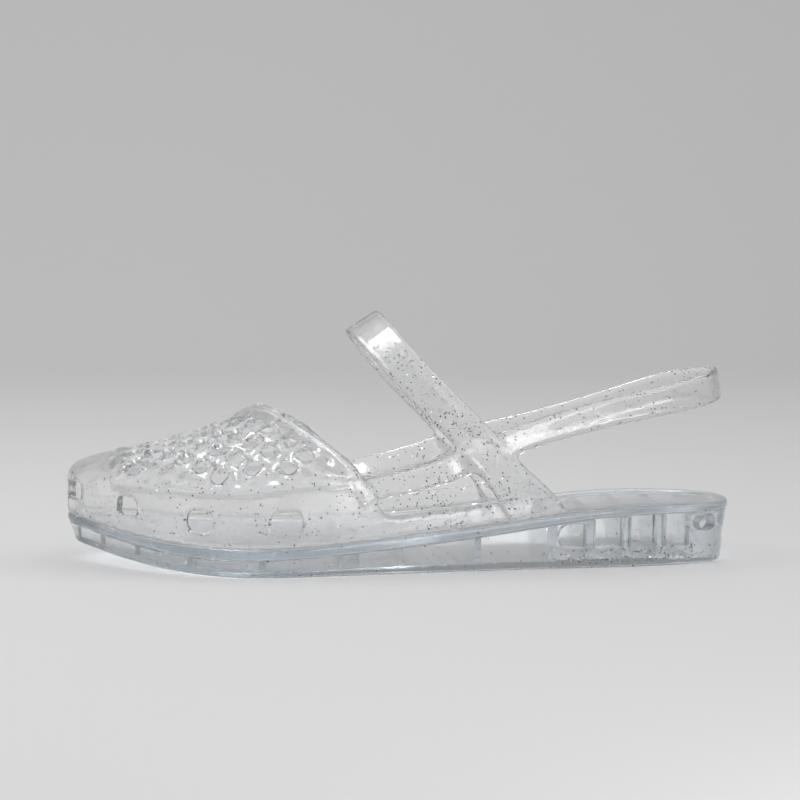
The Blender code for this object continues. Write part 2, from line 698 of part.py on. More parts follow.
def make_web(collection):
    """Vamp, rand and rails: the flat pattern laid on the last, then thickened."""
    pattern, outline = make_pattern()
    flat = [Vector((float(x), float(y))) for x, y in pattern.flat]
    result = delaunay_2d_cdt(flat, pattern.lines, [], 0, 1e-5, True)
    points, faces, origins = result[0], result[2], result[3]
    kept = []
    for face in faces:
        centre = sum((np.array(points[i]) for i in face), np.zeros(2)) / len(face)
        if inside(centre, outline) and not any(inside(centre, hole) for hole in pattern.holes):
            kept.append(tuple(face))
    places, reliefs = [], []
    for index, origin in enumerate(origins):
        source = origin[0] if origin else int(np.argmin(
            np.linalg.norm(np.array(pattern.flat) - np.array(points[index]), axis=1)))
        places.append(pattern.place[source])
        reliefs.append(pattern.relief[source])
    used = sorted({index for face in kept for index in face})
    renumber = {index: place for place, index in enumerate(used)}
    mesh = bpy.data.meshes.new("upper")
    faces = [tuple(renumber[index] for index in face[::-1]) for face in kept]
    mesh.from_pydata([world(*places[index]) for index in used], [], faces)
    ways = [vertex.normal.copy() for vertex in mesh.vertices]
    for vertex, way, index in zip(mesh.vertices, ways, used):
        vertex.co += way * reliefs[index] * MM
    web = bpy.data.objects.new("upper", mesh)
    collection.objects.link(web)

    # The wall is thicker where the relief is raised, so its inner face stays smooth
    thickest = UPPER_WALL + max(reliefs)
    walls = web.vertex_groups.new(name="wall")
    for place, index in enumerate(used):
        walls.add([place], (UPPER_WALL + reliefs[index]) / thickest, "REPLACE")
    shell = web.modifiers.new("Wall", "SOLIDIFY")
    shell.thickness = thickest * MM
    shell.vertex_group = "wall"
    shell.offset = -1.0
    return web


def make_strap(name, rows, centre, tools):
    """Band along a table of centre points, facing away from a point in the foot."""
    rows = np.asarray(rows, float)
    steps = np.linalg.norm(np.diff(rows[:, :3], axis=0), axis=1)
    keys = np.concatenate([[0.0], np.cumsum(steps)])
    count = int(keys[-1] / 5.5)
    places = np.linspace(0.0, keys[-1], count)
    smooth = np.stack([smooth_through(keys, rows[:, k], places) for k in range(5)], 1)
    heading = np.gradient(smooth[:, :3], axis=0)
    rings = []
    for row, way in zip(smooth, heading):
        along = Vector((-way[0], way[1], way[2])).normalized()
        here = world(*row[:3])
        away = here - world(*centre)
        out = (away - along * away.dot(along)).normalized()
        wide = along.cross(out)
        half, thick, corner = row[3] / 2, row[4] / 2, 0.7
        profile = [(half, -thick + corner), (half, thick - corner), (half - corner, thick),
                   (-half + corner, thick), (-half, thick - corner), (-half, -thick + corner),
                   (-half + corner, -thick), (half - corner, -thick)]
        rings.append([here + wide * a * MM + out * b * MM for a, b in profile])
    vertices = [point for ring in rings for point in ring]
    return new_object(name, vertices, loft_rings(rings, False), tools)


def make_trim(tools):
    """Block up to just above the footbed, which cuts the hem of the upper."""
    levels = [
        (-6.0, lambda t: footbed_top(t) - 24.0),
        (-6.0, lambda t: footbed_top(t) + FIT_GAP),
    ]
    return ruled_solid("hem_trim", levels, tools)


def material(name, colour, roughness, item):
    shade = bpy.data.materials.new(name)
    shade.use_nodes = True
    surface = shade.node_tree.nodes["Principled BSDF"]
    surface.inputs["Base Color"].default_value = colour + (1.0,)
    surface.inputs["Roughness"].default_value = roughness
    surface.inputs["Metallic"].default_value = 0.0
    surface.inputs["IOR"].default_value = 1.5
    surface.inputs["Transmission Weight"].default_value = 0.9
    item.data.materials.append(shade)


def main():
    for item in list(bpy.data.objects):
        bpy.data.objects.remove(item, do_unlink=True)
    parts = bpy.data.collections.new("jelly_sandal")
    tools = bpy.data.collections.new("cutters")
    for collection in (parts, tools):
        bpy.context.scene.collection.children.link(collection)
    footbed = make_footbed(parts)
    outsole = make_outsole(parts, tools)
    upper = make_web(parts)
    instep_strap = make_strap("instep_strap", INSTEP_STRAP, INSTEP_CENTRE, tools)
    boolean(instep_strap, make_trim(tools), "DIFFERENCE")
    boolean(upper, make_strap("heel_strap", HEEL_STRAP, HEEL_CENTRE, tools), "UNION")
    boolean(upper, instep_strap, "UNION", "MANIFOLD")
    material("clear_sole", (0.80, 0.84, 0.86), 0.12, outsole)
    material("blue_clear_footbed", (0.62, 0.70, 0.76), 0.15, footbed)
    material("clear_glitter_upper", (0.88, 0.89, 0.90), 0.10, upper)


main()
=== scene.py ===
# %% [markdown]
# # A clear moulded sandal, the left shoe
# The real shoe is three mouldings in soft clear plastic: a hollow sole unit, a footbed
# plate that closes it, and an upper with a woven front and two crossed straps. Clear
# plastic shows every wall behind the first one, so flat facets and sharp corners would
# show at once. The solids of the frame give the sizes and the places. This lesson makes
# each moulding again from the same sizes with a much finer surface, and then gives it
# the finish of clear plastic with glitter in it.

# %% Load the fixed frame
import math

import bmesh
import bpy
import numpy as np
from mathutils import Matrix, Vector
from mathutils.geometry import delaunay_2d_cdt
from mathutils.kdtree import KDTree

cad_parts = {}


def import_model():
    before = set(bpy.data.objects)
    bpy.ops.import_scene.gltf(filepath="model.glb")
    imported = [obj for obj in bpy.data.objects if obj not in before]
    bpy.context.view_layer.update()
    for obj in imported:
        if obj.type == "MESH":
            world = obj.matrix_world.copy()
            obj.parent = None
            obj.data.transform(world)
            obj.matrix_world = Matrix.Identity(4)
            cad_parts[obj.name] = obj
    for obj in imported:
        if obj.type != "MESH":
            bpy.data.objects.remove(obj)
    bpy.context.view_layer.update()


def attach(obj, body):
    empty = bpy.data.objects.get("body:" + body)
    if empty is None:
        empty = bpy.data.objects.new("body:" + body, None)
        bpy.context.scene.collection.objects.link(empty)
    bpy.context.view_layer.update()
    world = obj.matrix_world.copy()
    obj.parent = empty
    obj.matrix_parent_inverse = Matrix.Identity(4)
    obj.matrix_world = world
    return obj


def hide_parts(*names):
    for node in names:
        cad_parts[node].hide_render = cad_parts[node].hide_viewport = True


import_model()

MM = 0.001

# %% [markdown]
# ## The outline of the footbed
# A shoe designer starts from the outline of the last. Here a short table of points goes
# once round the footbed's edge, and a centripetal Catmull-Rom curve runs through them.
# That kind of curve never loops or overshoots between uneven points, which a plain
# spline would do round the toe. Along the shoe, from_heel runs from the back of the heel
# to the toe. Across it, the outer side of the foot is negative.

# %% Main sizes in millimetres
SOLE_LENGTH = 245.0
MIDDLE_LINE = 0.4
FIT_GAP = 0.3

FOOTBED_EDGE = [
    (0.0, 0.0), (1.5, -9.5), (6.0, -16.9), (16.0, -22.3), (35.0, -27.1), (60.0, -29.7),
    (90.0, -32.9), (120.0, -36.9), (150.0, -41.9), (175.0, -43.8), (195.0, -39.2),
    (212.0, -29.5), (227.0, -15.6), (237.0, -2.4), (243.2, 6.2), (245.0, 13.0),
    (243.0, 19.6), (238.0, 25.6), (231.0, 30.9), (220.0, 37.3), (205.0, 42.7), (190.0, 44.8),
    (175.0, 42.9), (150.0, 34.7), (120.0, 26.5), (90.0, 25.6), (60.0, 28.5), (35.0, 28.7),
    (15.0, 24.3), (5.0, 16.5), (1.3, 9.0),
]


def world(from_heel, across, height):
    """Millimetres on the shoe to metres in the frame, for numbers or whole arrays."""
    return np.stack(np.broadcast_arrays((SOLE_LENGTH / 2 - np.asarray(from_heel, float)) * MM,
                                        (np.asarray(across, float) - MIDDLE_LINE) * MM,
                                        np.asarray(height, float) * MM), -1)


def dense_edge(points, steps):
    """A closed centripetal Catmull-Rom curve through the points of a table."""
    points = np.asarray(points, float)
    count = len(points)
    part = (np.arange(steps) / steps)[:, None]
    rest = 1 - part
    curve = []
    for i in range(count):
        p0, p1, p2, p3 = (points[(i + k) % count] for k in (-1, 0, 1, 2))
        d1, d2, d3 = (np.linalg.norm(b - a) ** 0.5 for a, b in ((p0, p1), (p1, p2), (p2, p3)))
        m1 = d2 * ((p1 - p0) / d1 - (p2 - p0) / (d1 + d2)) + (p2 - p1)
        m2 = d2 * ((p3 - p2) / d3 - (p3 - p1) / (d2 + d3)) + (p2 - p1)
        curve.append(p1 * (1 + 2 * part) * rest**2 + p2 * (3 - 2 * part) * part**2
                     + m1 * part * rest**2 - m2 * part**2 * rest)
    return np.vstack(curve)


EDGE = dense_edge(FOOTBED_EDGE, 60)
EDGE_ALONG = np.roll(EDGE, -1, 0) - np.roll(EDGE, 1, 0)
EDGE_OUT = np.stack([EDGE_ALONG[:, 1], -EDGE_ALONG[:, 0]], 1)
EDGE_OUT /= np.linalg.norm(EDGE_OUT, axis=1)[:, None]
TIP = int(np.argmax(EDGE[:, 0]))
print("footbed edge:", len(EDGE), "points, tip of the toe at", np.round(EDGE[TIP], 1))

# %% [markdown]
# ## Heights along the sole
# Seen from the side the footbed dips at the ball of the foot and climbs to the heel, and
# the tread lifts off the floor towards the toe. Each of these is a small table with a
# smooth curve through it, so one number moves a whole stretch of the shoe.

# %% Smooth reading of a table
SOLE_SIDE = [
    (0.0, 22.5, 3.0), (50.0, 21.6, 3.2), (100.0, 16.1, 3.8), (135.0, 12.9, 4.0),
    (165.0, 10.8, 4.0), (200.0, 11.5, 4.0), (245.0, 17.7, 3.0),
]
SPRING_START = 177.0
SPRING_RISE = 7.7
SPRING_POWER = 1.8


def smooth_through(keys, values, at):
    """Read a smooth curve through the rows of a table, flat beyond its ends."""
    keys = np.asarray(keys, float)
    values = np.asarray(values, float)
    at = np.clip(np.asarray(at, float), keys[0], keys[-1])
    slopes = np.gradient(values, keys)
    place = np.clip(np.searchsorted(keys, at) - 1, 0, len(keys) - 2)
    span = keys[place + 1] - keys[place]
    part = (at - keys[place]) / span
    rest = 1.0 - part
    start = values[place] * (1 + 2 * part) * rest**2 + slopes[place] * span * part * rest**2
    end = values[place + 1] * (3 - 2 * part) * part**2
    return start + end - slopes[place + 1] * span * part**2 * rest


def run_along(line):
    """Distance along a line from its first point to each of its points."""
    return np.concatenate([[0.0], np.cumsum(np.linalg.norm(np.diff(line, axis=0), axis=1))])


def read(table, number, at):
    """One column of a table at any place along the shoe."""
    return smooth_through([row[0] for row in table], [row[number] for row in table], at)


def footbed_top(from_heel):
    return read(SOLE_SIDE, 1, from_heel)


def footbed_under(from_heel):
    return footbed_top(from_heel) - read(SOLE_SIDE, 2, from_heel)


def tread_under(from_heel):
    past = np.clip((np.asarray(from_heel) - SPRING_START) / (SOLE_LENGTH - SPRING_START), 0, 1)
    return SPRING_RISE * past**SPRING_POWER


print("footbed at heel, arch and ball:", np.round(footbed_top([0.0, 100.0, 165.0]), 1), "mm")

# %% [markdown]
# ## Rings for the footbed and the sole
# Both the plate and the sole unit are stacks of closed rings, each one the edge moved
# inwards by some amount at some height. Rounded mould edges are only more rings: three
# or four of them, close together, follow a quarter of a circle. The rings have a point
# about every two millimetres, closer at heel and toe where the outline turns fast.

# %% Helpers for rings and ruled solids
RING_STATIONS = 121


def side_line(side, inset):
    """Points of one side's edge, moved in by the inset, from heel to toe."""
    moved = EDGE - EDGE_OUT * inset
    if side < 0:
        return moved[: TIP + 1]
    return np.vstack([moved[:1], moved[:TIP - 1:-1]])


def across_at(from_heel, side, inset):
    line = side_line(side, inset)
    order = np.maximum.accumulate(line[:, 0] + np.arange(len(line)) * 1e-7)
    return np.interp(from_heel, order, line[:, 1])


def round_ring(inset):
    """One closed ring of (from_heel, across), inset from the footbed edge."""
    outer = side_line(-1, inset)
    heel, toe = outer[0], outer[-1]
    turn = np.linspace(0, math.pi, RING_STATIONS)
    stations = (heel[0] + (toe[0] - heel[0]) * (1 - np.cos(turn)) / 2)[1:-1]
    left = np.stack([stations, across_at(stations, -1, inset)], 1)
    right = np.stack([stations, across_at(stations, 1, inset)], 1)
    return np.vstack([heel, left, toe, right[::-1]])


def mesh_object(name, vertices, faces):
    """A linked object with its faces turned outwards."""
    mesh = bpy.data.meshes.new(name)
    mesh.from_pydata([tuple(map(float, point)) for point in vertices], [], faces)
    built = bmesh.new()
    built.from_mesh(mesh)
    bmesh.ops.recalc_face_normals(built, faces=built.faces)
    built.to_mesh(mesh)
    built.free()
    item = bpy.data.objects.new(name, mesh)
    bpy.context.scene.collection.objects.link(item)
    return item


def band(low, high, size):
    """Faces between two closed rings, each given by the number of its first point."""
    return [(low + i, low + (i + 1) % size, high + (i + 1) % size, high + i) for i in range(size)]


def ruled_solid(name, levels):
    """A solid through rings given as (inset, height function), bottom to top."""
    rings = []
    for inset, height in levels:
        ring = round_ring(inset)
        rings.append(world(ring[:, 0], ring[:, 1], height(ring[:, 0])))
    size = len(rings[0])
    faces = []
    for level in range(len(rings) - 1):
        faces += band(level * size, (level + 1) * size, size)
    for base in (0, (len(rings) - 1) * size):
        faces.append((base, base + 1, base + size - 1))
        for i in range(1, size // 2 - 1):
            faces.append((base + i, base + i + 1, base + size - i - 1, base + size - i))
        faces.append((base + size // 2 - 1, base + size // 2, base + size // 2 + 1))
    return mesh_object(name, np.vstack(rings), faces)


def smooth_with_edges(item, degrees):
    """Shade smooth, with a crisp line wherever two faces meet at more than this angle."""
    item.data.shade_smooth()
    item.data.set_sharp_from_angle(angle=math.radians(degrees))


def apply_modifiers(item):
    """Swap the object's mesh for what its modifiers make of it."""
    graph = bpy.context.evaluated_depsgraph_get()
    result = bpy.data.meshes.new_from_object(item.evaluated_get(graph))
    item.modifiers.clear()
    old = item.data
    item.data = result
    bpy.data.meshes.remove(old)


def drop(*items):
    for item in items:
        bpy.data.objects.remove(item, do_unlink=True)


print("one ring has", len(round_ring(0.0)), "points")

# %% [markdown]
# ## The footbed
# The plate that the foot stands on is about four millimetres thick, with a rounded rim
# and a shallow tray inside it. Seen from the side its edge is the blue line that runs
# the whole length of the shoe, because light crosses the plate from one side to the
# other. A Bevel modifier could round the rim too, but the rings keep it exact.

# %% Footbed plate
TRAY_DEPTH = 0.8

footbed = ruled_solid("footbed_plate", [
    (1.0, footbed_under),
    (0.45, lambda t: footbed_under(t) + 0.2),
    (0.1, lambda t: footbed_under(t) + 0.55),
    (0.0, lambda t: footbed_under(t) + 1.0),
    (0.0, lambda t: footbed_top(t) - 0.9),
    (0.1, lambda t: footbed_top(t) - 0.5),
    (0.4, lambda t: footbed_top(t) - 0.15),
    (0.9, footbed_top),
    (5.0, footbed_top),
    (5.4, lambda t: footbed_top(t) - 0.12),
    (6.0, lambda t: footbed_top(t) - TRAY_DEPTH + 0.12),
    (6.5, lambda t: footbed_top(t) - TRAY_DEPTH),
])
smooth_with_edges(footbed, 50)
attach(footbed, "root")
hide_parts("footbed")
print("footbed plate:", len(footbed.data.polygons), "faces")

# %% [markdown]
# ## The sole unit
# A jelly shoe's sole is hollow to save plastic and to stay soft. The mould leaves a
# skirt round the outside, a thin tread below, and cross ribs that carry the footbed. In
# the heel the skirt is a thick wall with a row of recessed windows, and a rib runs right
# across behind each post between two of them. That is why the posts look blue: light
# crosses the whole width of a rib. The tray is one solid with its chambers and windows
# cut out by Boolean modifiers, as a mould's cores would leave them.

# %% Ribs, chambers and windows
SKIRT_WALL = 2.4
SKIRT_SLANT = 2.6
TREAD_WALL = 3.0
HEEL_WALL = 10.0
HEEL_WINDOW_DEPTH = 6.6
CHAMBER_STEP = 1.5
RIBS = [
    (69.0, 3.8), (96.7, 2.4), (125.0, 1.8), (140.7, 1.8), (146.7, 1.8), (174.0, 2.2),
    (199.0, 2.2), (217.5, 1.8), (230.0, 1.8),
]
HEEL_RIBS = [(15.4, 4.0), (28.3, 3.4), (41.4, 3.0), (55.0, 3.2)]
# Each window: rear end, front end, sill, top, rounding at the rear, rounding at the front
HEEL_WINDOWS = [
    (6.6, 13.4, 12.2, 18.6, 3.1, 3.1), (17.4, 26.6, 7.3, 30.0, 0.8, 0.8),
    (30.0, 39.9, 7.3, 30.0, 0.8, 0.8), (42.9, 53.4, 7.3, 30.0, 0.8, 0.8),
    (56.6, 66.9, 7.3, 16.6, 0.8, 4.5),
]
WINDOW_CORNER_STEPS = 8


def chamber(rear, front, wall):
    """Prism between two stations, inside the skirt."""
    count = max(3, int((front - rear) / CHAMBER_STEP) + 1)
    stations = np.linspace(rear, front, count)
    rings = []
    for height, inset in ((tread_under(stations) + TREAD_WALL, wall + SKIRT_SLANT),
                          (footbed_under(stations) + 3.0, wall + 0.6)):
        left = world(stations, across_at(stations, -1, inset), height)
        right = world(stations, across_at(stations, 1, inset), height)
        rings.append(np.vstack([left, right[::-1]]))
    size = 2 * count
    faces = band(0, size, size)
    for base in (0, size):
        faces += [(base + i, base + i + 1, base + size - i - 2, base + size - i - 1)
                  for i in range(count - 1)]
    return np.vstack(rings), faces


def heel_window(rear, front, sill, top, rear_round, front_round, side):
    """Prism with rounded corners that cuts one recess square into the side of the heel."""
    line = side_line(side, 0.0)
    inward = side_line(side, 1.0) - line
    keys = line[:, 0] + np.arange(len(line)) * 1e-7
    middle = (rear + front) / 2
    point = np.array([np.interp(middle, keys, line[:, k]) for k in (0, 1)])
    way = np.array([np.interp(middle, keys, inward[:, k]) for k in (0, 1)])
    forward = np.array([abs(way[1]), -way[0] * math.copysign(1.0, way[1])])
    outline = []
    for t, height, radius, first in ((rear, sill, rear_round, 180), (front, sill, front_round, 270),
                                     (front, top, front_round, 0), (rear, top, rear_round, 90)):
        centre = (t + math.copysign(radius, middle - t),
                  height + math.copysign(radius, sill + top - 2 * height))
        for angle in np.radians(first + np.linspace(0.0, 90.0, WINDOW_CORNER_STEPS + 1)):
            outline.append((centre[0] + radius * math.cos(angle) - middle,
                            centre[1] + radius * math.sin(angle)))
    outline = np.array(outline)
    size = len(outline)
    rings = []
    for reach in (-4.0, HEEL_WINDOW_DEPTH):
        spot = point + forward / forward[0] * outline[:, :1] + way * reach
        rings.append(world(spot[:, 0], spot[:, 1], outline[:, 1]))
    faces = [tuple(range(size)), tuple(range(size, 2 * size))]
    faces += band(0, size, size)
    return np.vstack(rings), faces


def joined(name, pieces):
    """One object of several closed pieces."""
    vertices, faces = [], []
    for points, sides in pieces:
        start = len(vertices)
        vertices += list(points)
        faces += [tuple(start + i for i in side) for side in sides]
    return mesh_object(name, vertices, faces)


def combine(item, tool, operation):
    step = item.modifiers.new(operation.title(), "BOOLEAN")
    step.operation = operation
    step.solver = "EXACT"
    step.object = tool
    apply_modifiers(item)
    drop(tool)


# %% Cut the sole unit
sole = ruled_solid("sole_unit", [
    (SKIRT_SLANT + 1.2, tread_under),
    (SKIRT_SLANT + 0.45, lambda t: tread_under(t) + 0.2),
    (SKIRT_SLANT + 0.1, lambda t: tread_under(t) + 0.6),
    (SKIRT_SLANT, lambda t: tread_under(t) + 1.2),
    (0.6, lambda t: footbed_under(t) - FIT_GAP),
])
cores = []
all_ribs = HEEL_RIBS + RIBS
for (rear, rear_wall), (front, front_wall) in zip(all_ribs, all_ribs[1:]):
    wall = HEEL_WALL - SKIRT_SLANT if front <= RIBS[0][0] else SKIRT_WALL
    cores.append(chamber(rear + rear_wall / 2, front - front_wall / 2, wall))
cores.append(chamber(RIBS[-1][0] + RIBS[-1][1] / 2, SOLE_LENGTH - 6.5, SKIRT_WALL))
combine(sole, joined("cores", cores), "DIFFERENCE")
windows = [heel_window(*row, side) for side in (-1, 1) for row in HEEL_WINDOWS]
combine(sole, joined("window_cores", windows), "DIFFERENCE")
smooth_with_edges(sole, 35)
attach(sole, "root")
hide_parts("outsole")
print("sole unit:", len(sole.data.polygons), "faces,", len(cores), "chambers,", len(windows), "windows")

# %% [markdown]
# ## The last under the woven front
# The front of the upper follows the last: a ridge that falls from the instep to the toe,
# with a full round section on each side, down to the top of the rand. A rand is the
# upright wall that runs round the foot above the sole. The surface is a formula of the
# place on the shoe, so it can be sampled as finely as the render needs.

# %% Surface of the forefoot
VAMP = [
    (100.0, 50.0, 34.4, -1.0), (150.0, 52.8, 34.4, 0.5), (165.0, 55.4, 33.2, 1.5),
    (175.0, 56.6, 31.8, 1.8), (178.0, 55.4, 31.5, 2.0), (183.0, 53.0, 31.3, 2.4),
    (192.0, 48.8, 31.3, 3.4), (206.0, 44.2, 31.8, 5.0), (220.0, 41.0, 32.0, 7.5),
    (228.0, 40.0, 31.9, 9.0), (245.0, 39.6, 31.0, 11.0),
]
TOE_CENTRE = 205.0
TOE_ROUND_START = 215.0
RAND_INSET = 0.8
RAND_TOP_INSET = 1.7
RAIL_HEIGHT = 7.8
RAIL_REAR = 78.0
RAIL_INNER_SHIFT = 2.5
RAIL_OVERLAP = 4.0

start = int(np.argmax(EDGE[:TIP, 0] > RAIL_REAR - 12.0))
end = len(EDGE) - int(np.argmax(EDGE[::-1, 0] > RAIL_REAR - 12.0))
ROUND, ROUND_OUT = EDGE[start:end], EDGE_OUT[start:end]
AROUND = run_along(ROUND)
AROUND -= AROUND[int(np.argmax(ROUND[:, 0]))]
TOE_SHARE = np.clip((ROUND[:, 0] - TOE_ROUND_START) / (SOLE_LENGTH - TOE_ROUND_START), 0.0, 1.0)
TOP_INSET = RAND_TOP_INSET + (RAND_INSET - RAND_TOP_INSET) * TOE_SHARE
RAND_TOP = ROUND - ROUND_OUT * TOP_INSET[:, None]
RAND_TALL = read(VAMP, 2, ROUND[:, 0]) - footbed_top(ROUND[:, 0])


def ridge_line(from_heel):
    return read(VAMP, 3, from_heel)


def half_width(from_heel, side):
    line = RAND_TOP[AROUND <= 0] if side < 0 else RAND_TOP[AROUND >= 0][::-1]
    return np.abs(np.interp(from_heel, line[:, 0], line[:, 1]) - ridge_line(from_heel))


def toe_reach(angle):
    """How far the rand lies from the toe's centre in a direction."""
    away = RAND_TOP - np.array([TOE_CENTRE, float(ridge_line(TOE_CENTRE))])
    bearings = np.arctan2(away[:, 1], away[:, 0])
    front = np.abs(bearings) < 2.2
    order = np.argsort(bearings[front])
    return np.interp(angle, bearings[front][order], np.linalg.norm(away, axis=1)[front][order])


def dome_height(from_heel, across):
    """Height of the web over the forefoot, before any relief."""
    ridge = ridge_line(from_heel)
    width = np.where(across < ridge, half_width(from_heel, -1), half_width(from_heel, 1))
    out = np.abs(across - ridge) / width
    centre = float(ridge_line(TOE_CENTRE))
    bearing = np.arctan2(across - centre, from_heel - TOE_CENTRE)
    reach = np.hypot(across - centre, from_heel - TOE_CENTRE)
    blend = np.clip((from_heel - TOE_CENTRE) / 8.0, 0.0, 1.0)
    out = np.clip(out * (1 - blend) + reach / toe_reach(bearing) * blend, 0.0, 1.0)
    fuller = np.clip((from_heel - 180.0) / 38.0, 0.0, 1.0)
    rise = (1 - out ** (1.8 + 2.0 * fuller)) ** (1 / (1.5 + 0.5 * fuller))
    low = read(VAMP, 2, from_heel)
    return low + (read(VAMP, 1, from_heel) - low) * rise


throat_height = float(dome_height(np.array(170.0), np.array(1.6)))
print("height of the ridge at the throat:", round(throat_height, 1), "mm")

# %% [markdown]
# ## A flat pattern for a curved upper
# A shoemaker cuts an upper from a flat pattern. The same idea works here: the front is
# drawn on a plane, with the rand unrolled around it, the triangles are made there, and
# then every point is laid on the last. To place the weave evenly, each point also needs
# its girth, the distance down the surface from the ridge. The girths are measured once
# on a grid of sections and read back from it.

# %% Girths of the sections
SECTION_STEP = 1.0
SECTIONS = np.arange(74.0, SOLE_LENGTH + 0.1, SECTION_STEP)
SHARE_STEPS = 90
SHARE_POWER = 1.6
SHARES = 1 - np.linspace(1, 0, SHARE_STEPS) ** SHARE_POWER
GIRTHS = {}
for side in (-1, 1):
    t = SECTIONS[:, None] * np.ones(SHARE_STEPS)
    across = ridge_line(t) + side * SHARES * half_width(t, side)
    heights = dome_height(t, across)
    run = np.hypot(np.diff(across, axis=1), np.diff(heights, axis=1))
    GIRTHS[side] = np.hstack([np.zeros((len(SECTIONS), 1)), np.cumsum(run, 1)])


def tall_at(from_heel):
    return read(VAMP, 2, from_heel) - footbed_top(from_heel)


def girth_at(from_heel, share, side):
    """Distance down the section from the ridge, for a share of the way to the rand."""
    place = np.clip((from_heel - SECTIONS[0]) / SECTION_STEP, 0, len(SECTIONS) - 1.001)
    row = place.astype(int)
    along = place - row
    column = (1 - (1 - np.clip(share, 0, 1)) ** (1 / SHARE_POWER)) * (SHARE_STEPS - 1)
    left = np.minimum(column.astype(int), SHARE_STEPS - 2)
    part = column - left
    grid = GIRTHS[side]
    low = grid[row, left] * (1 - part) + grid[row, left + 1] * part
    high = grid[row + 1, left] * (1 - part) + grid[row + 1, left + 1] * part
    return low * (1 - along) + high * along + np.clip(share - 1, 0, None) * tall_at(from_heel)


def share_at(from_heel, girth, side):
    """Share of the way down one section where the girth is reached."""
    row = int(np.clip(round((from_heel - SECTIONS[0]) / SECTION_STEP), 0, len(SECTIONS) - 1))
    whole = GIRTHS[side][row]
    share = np.interp(girth, whole, SHARES)
    return share + np.clip(girth - whole[-1], 0, None) / float(tall_at(from_heel))


def around_at(from_heel, side):
    half = AROUND <= 0 if side < 0 else AROUND >= 0
    line, measure = RAND_TOP[half][:, 0], AROUND[half]
    return np.interp(from_heel, line, measure) if side < 0 else np.interp(-from_heel, -line, measure)


def read_round(line, around):
    """Points of a line that follows the rand, at measures round the toe."""
    return np.stack([np.interp(around, AROUND, line[:, k]) for k in (0, 1)], -1)


def rand_flat(around, up):
    """Flat pattern point of the rand, from the measure round the toe and the height up."""
    down = np.interp(around, AROUND, RAND_TALL) - up
    return read_round(RAND_TOP, around) + read_round(ROUND_OUT, around) * down[..., None]


def web_flat(from_heel, share, side):
    """Flat pattern point from a station and a share: 0 ridge, 1 top of rand, 2 footbed."""
    across = ridge_line(from_heel) + side * np.minimum(share, 1) * half_width(from_heel, side)
    on_dome = np.stack([from_heel, across], -1)
    around = around_at(from_heel, side)
    on_wall = rand_flat(around, np.interp(around, AROUND, RAND_TALL) * (2 - share))
    return np.where((share <= 1)[..., None], on_dome, on_wall)


throat_girth = girth_at(np.array([170.0]), np.array([1.0]), -1)
print("girth from ridge to rand at the throat:", np.round(throat_girth, 1), "mm")

# %% Lay flat points on the last
top_tree = KDTree(len(RAND_TOP))
for index, point in enumerate(RAND_TOP):
    top_tree.insert((point[0], point[1], 0.0), index)
top_tree.balance()
ROUND_WAY = np.stack([-ROUND_OUT[:, 1], ROUND_OUT[:, 0]], 1)


def lay_on_last(flat):
    """World points, and each one's (station, signed girth, share, down), for flat points."""
    near = np.array([top_tree.find((x, y, 0.0))[1] for x, y in flat])
    offset = flat - RAND_TOP[near]
    down = (offset * ROUND_OUT[near]).sum(1)
    around = AROUND[near] + (offset * ROUND_WAY[near]).sum(1)
    spot, top, out = (read_round(line, around) for line in (ROUND, RAND_TOP, ROUND_OUT))
    tall = np.interp(around, AROUND, RAND_TALL)
    up_share = np.clip(1 - down / tall, 0, 1)
    low = spot - out * RAND_INSET
    wall = low + (top - low) * up_share[:, None]
    wall_height = footbed_top(spot[:, 0]) + tall - down
    on_wall = down > 0
    t = np.where(on_wall, wall[:, 0], flat[:, 0])
    across = np.where(on_wall, wall[:, 1], flat[:, 1])
    height = np.where(on_wall, wall_height, dome_height(flat[:, 0], flat[:, 1]))
    ridge = ridge_line(flat[:, 0])
    side = np.where(on_wall, np.where(around < 0, -1, 1), np.where(flat[:, 1] < ridge, -1, 1))
    width = np.where(side < 0, half_width(flat[:, 0], -1), half_width(flat[:, 0], 1))
    share = np.where(on_wall, 1 + down / tall, np.abs(flat[:, 1] - ridge) / np.maximum(width, 0.1))
    station = np.where(on_wall, spot[:, 0], flat[:, 0])
    girth = np.where(side < 0, girth_at(station, share, -1), girth_at(station, share, 1))
    return world(t, across, height), np.stack([station, side * girth, share, down], 1)


# %% [markdown]
# ## The outline of the upper and its cut-outs
# One closed line goes along the hem, up the end of a rail, forward along the rail, over
# the foot along the throat, and back down the other side. The cut-outs are closed lines
# inside it: seven windows low in the rand, and the openings of the weave. Every opening
# of the weave is a rounded square on a grid turned by 46 degrees, kept only where a
# whole one fits.

# %% Throat and outline
THROAT = [
    (175.0, 0.0), (174.1, 0.10), (171.4, 0.19), (167.2, 0.29), (162.8, 0.39),
    (158.3, 0.50), (151.2, 0.68), (145.3, 0.84), (140.3, 0.96), (136.6, 1.08),
    (134.3, 1.27), (132.6, 1.48), (130.4, 1.60),
]
INNER_SIDE_SHIFT = 6.0
LINE_STEP = 0.9


def throat_side(side):
    """Dense throat edge down one side as (station, share)."""
    rows = np.arange(len(THROAT), dtype=float)
    fine = np.linspace(0, len(THROAT) - 1, 75)
    t = smooth_through(rows, [row[0] for row in THROAT], fine)
    share = np.clip(smooth_through(rows, [row[1] for row in THROAT], fine), 0, None)
    return (t + INNER_SIDE_SHIFT * np.minimum(share, 1) if side > 0 else t), share


def spread(line):
    """The same line with points about LINE_STEP apart."""
    run = run_along(line)
    at = np.linspace(0, run[-1], max(2, int(run[-1] / LINE_STEP) + 1))
    return np.stack([np.interp(at, run, line[:, k]) for k in (0, 1)], 1)


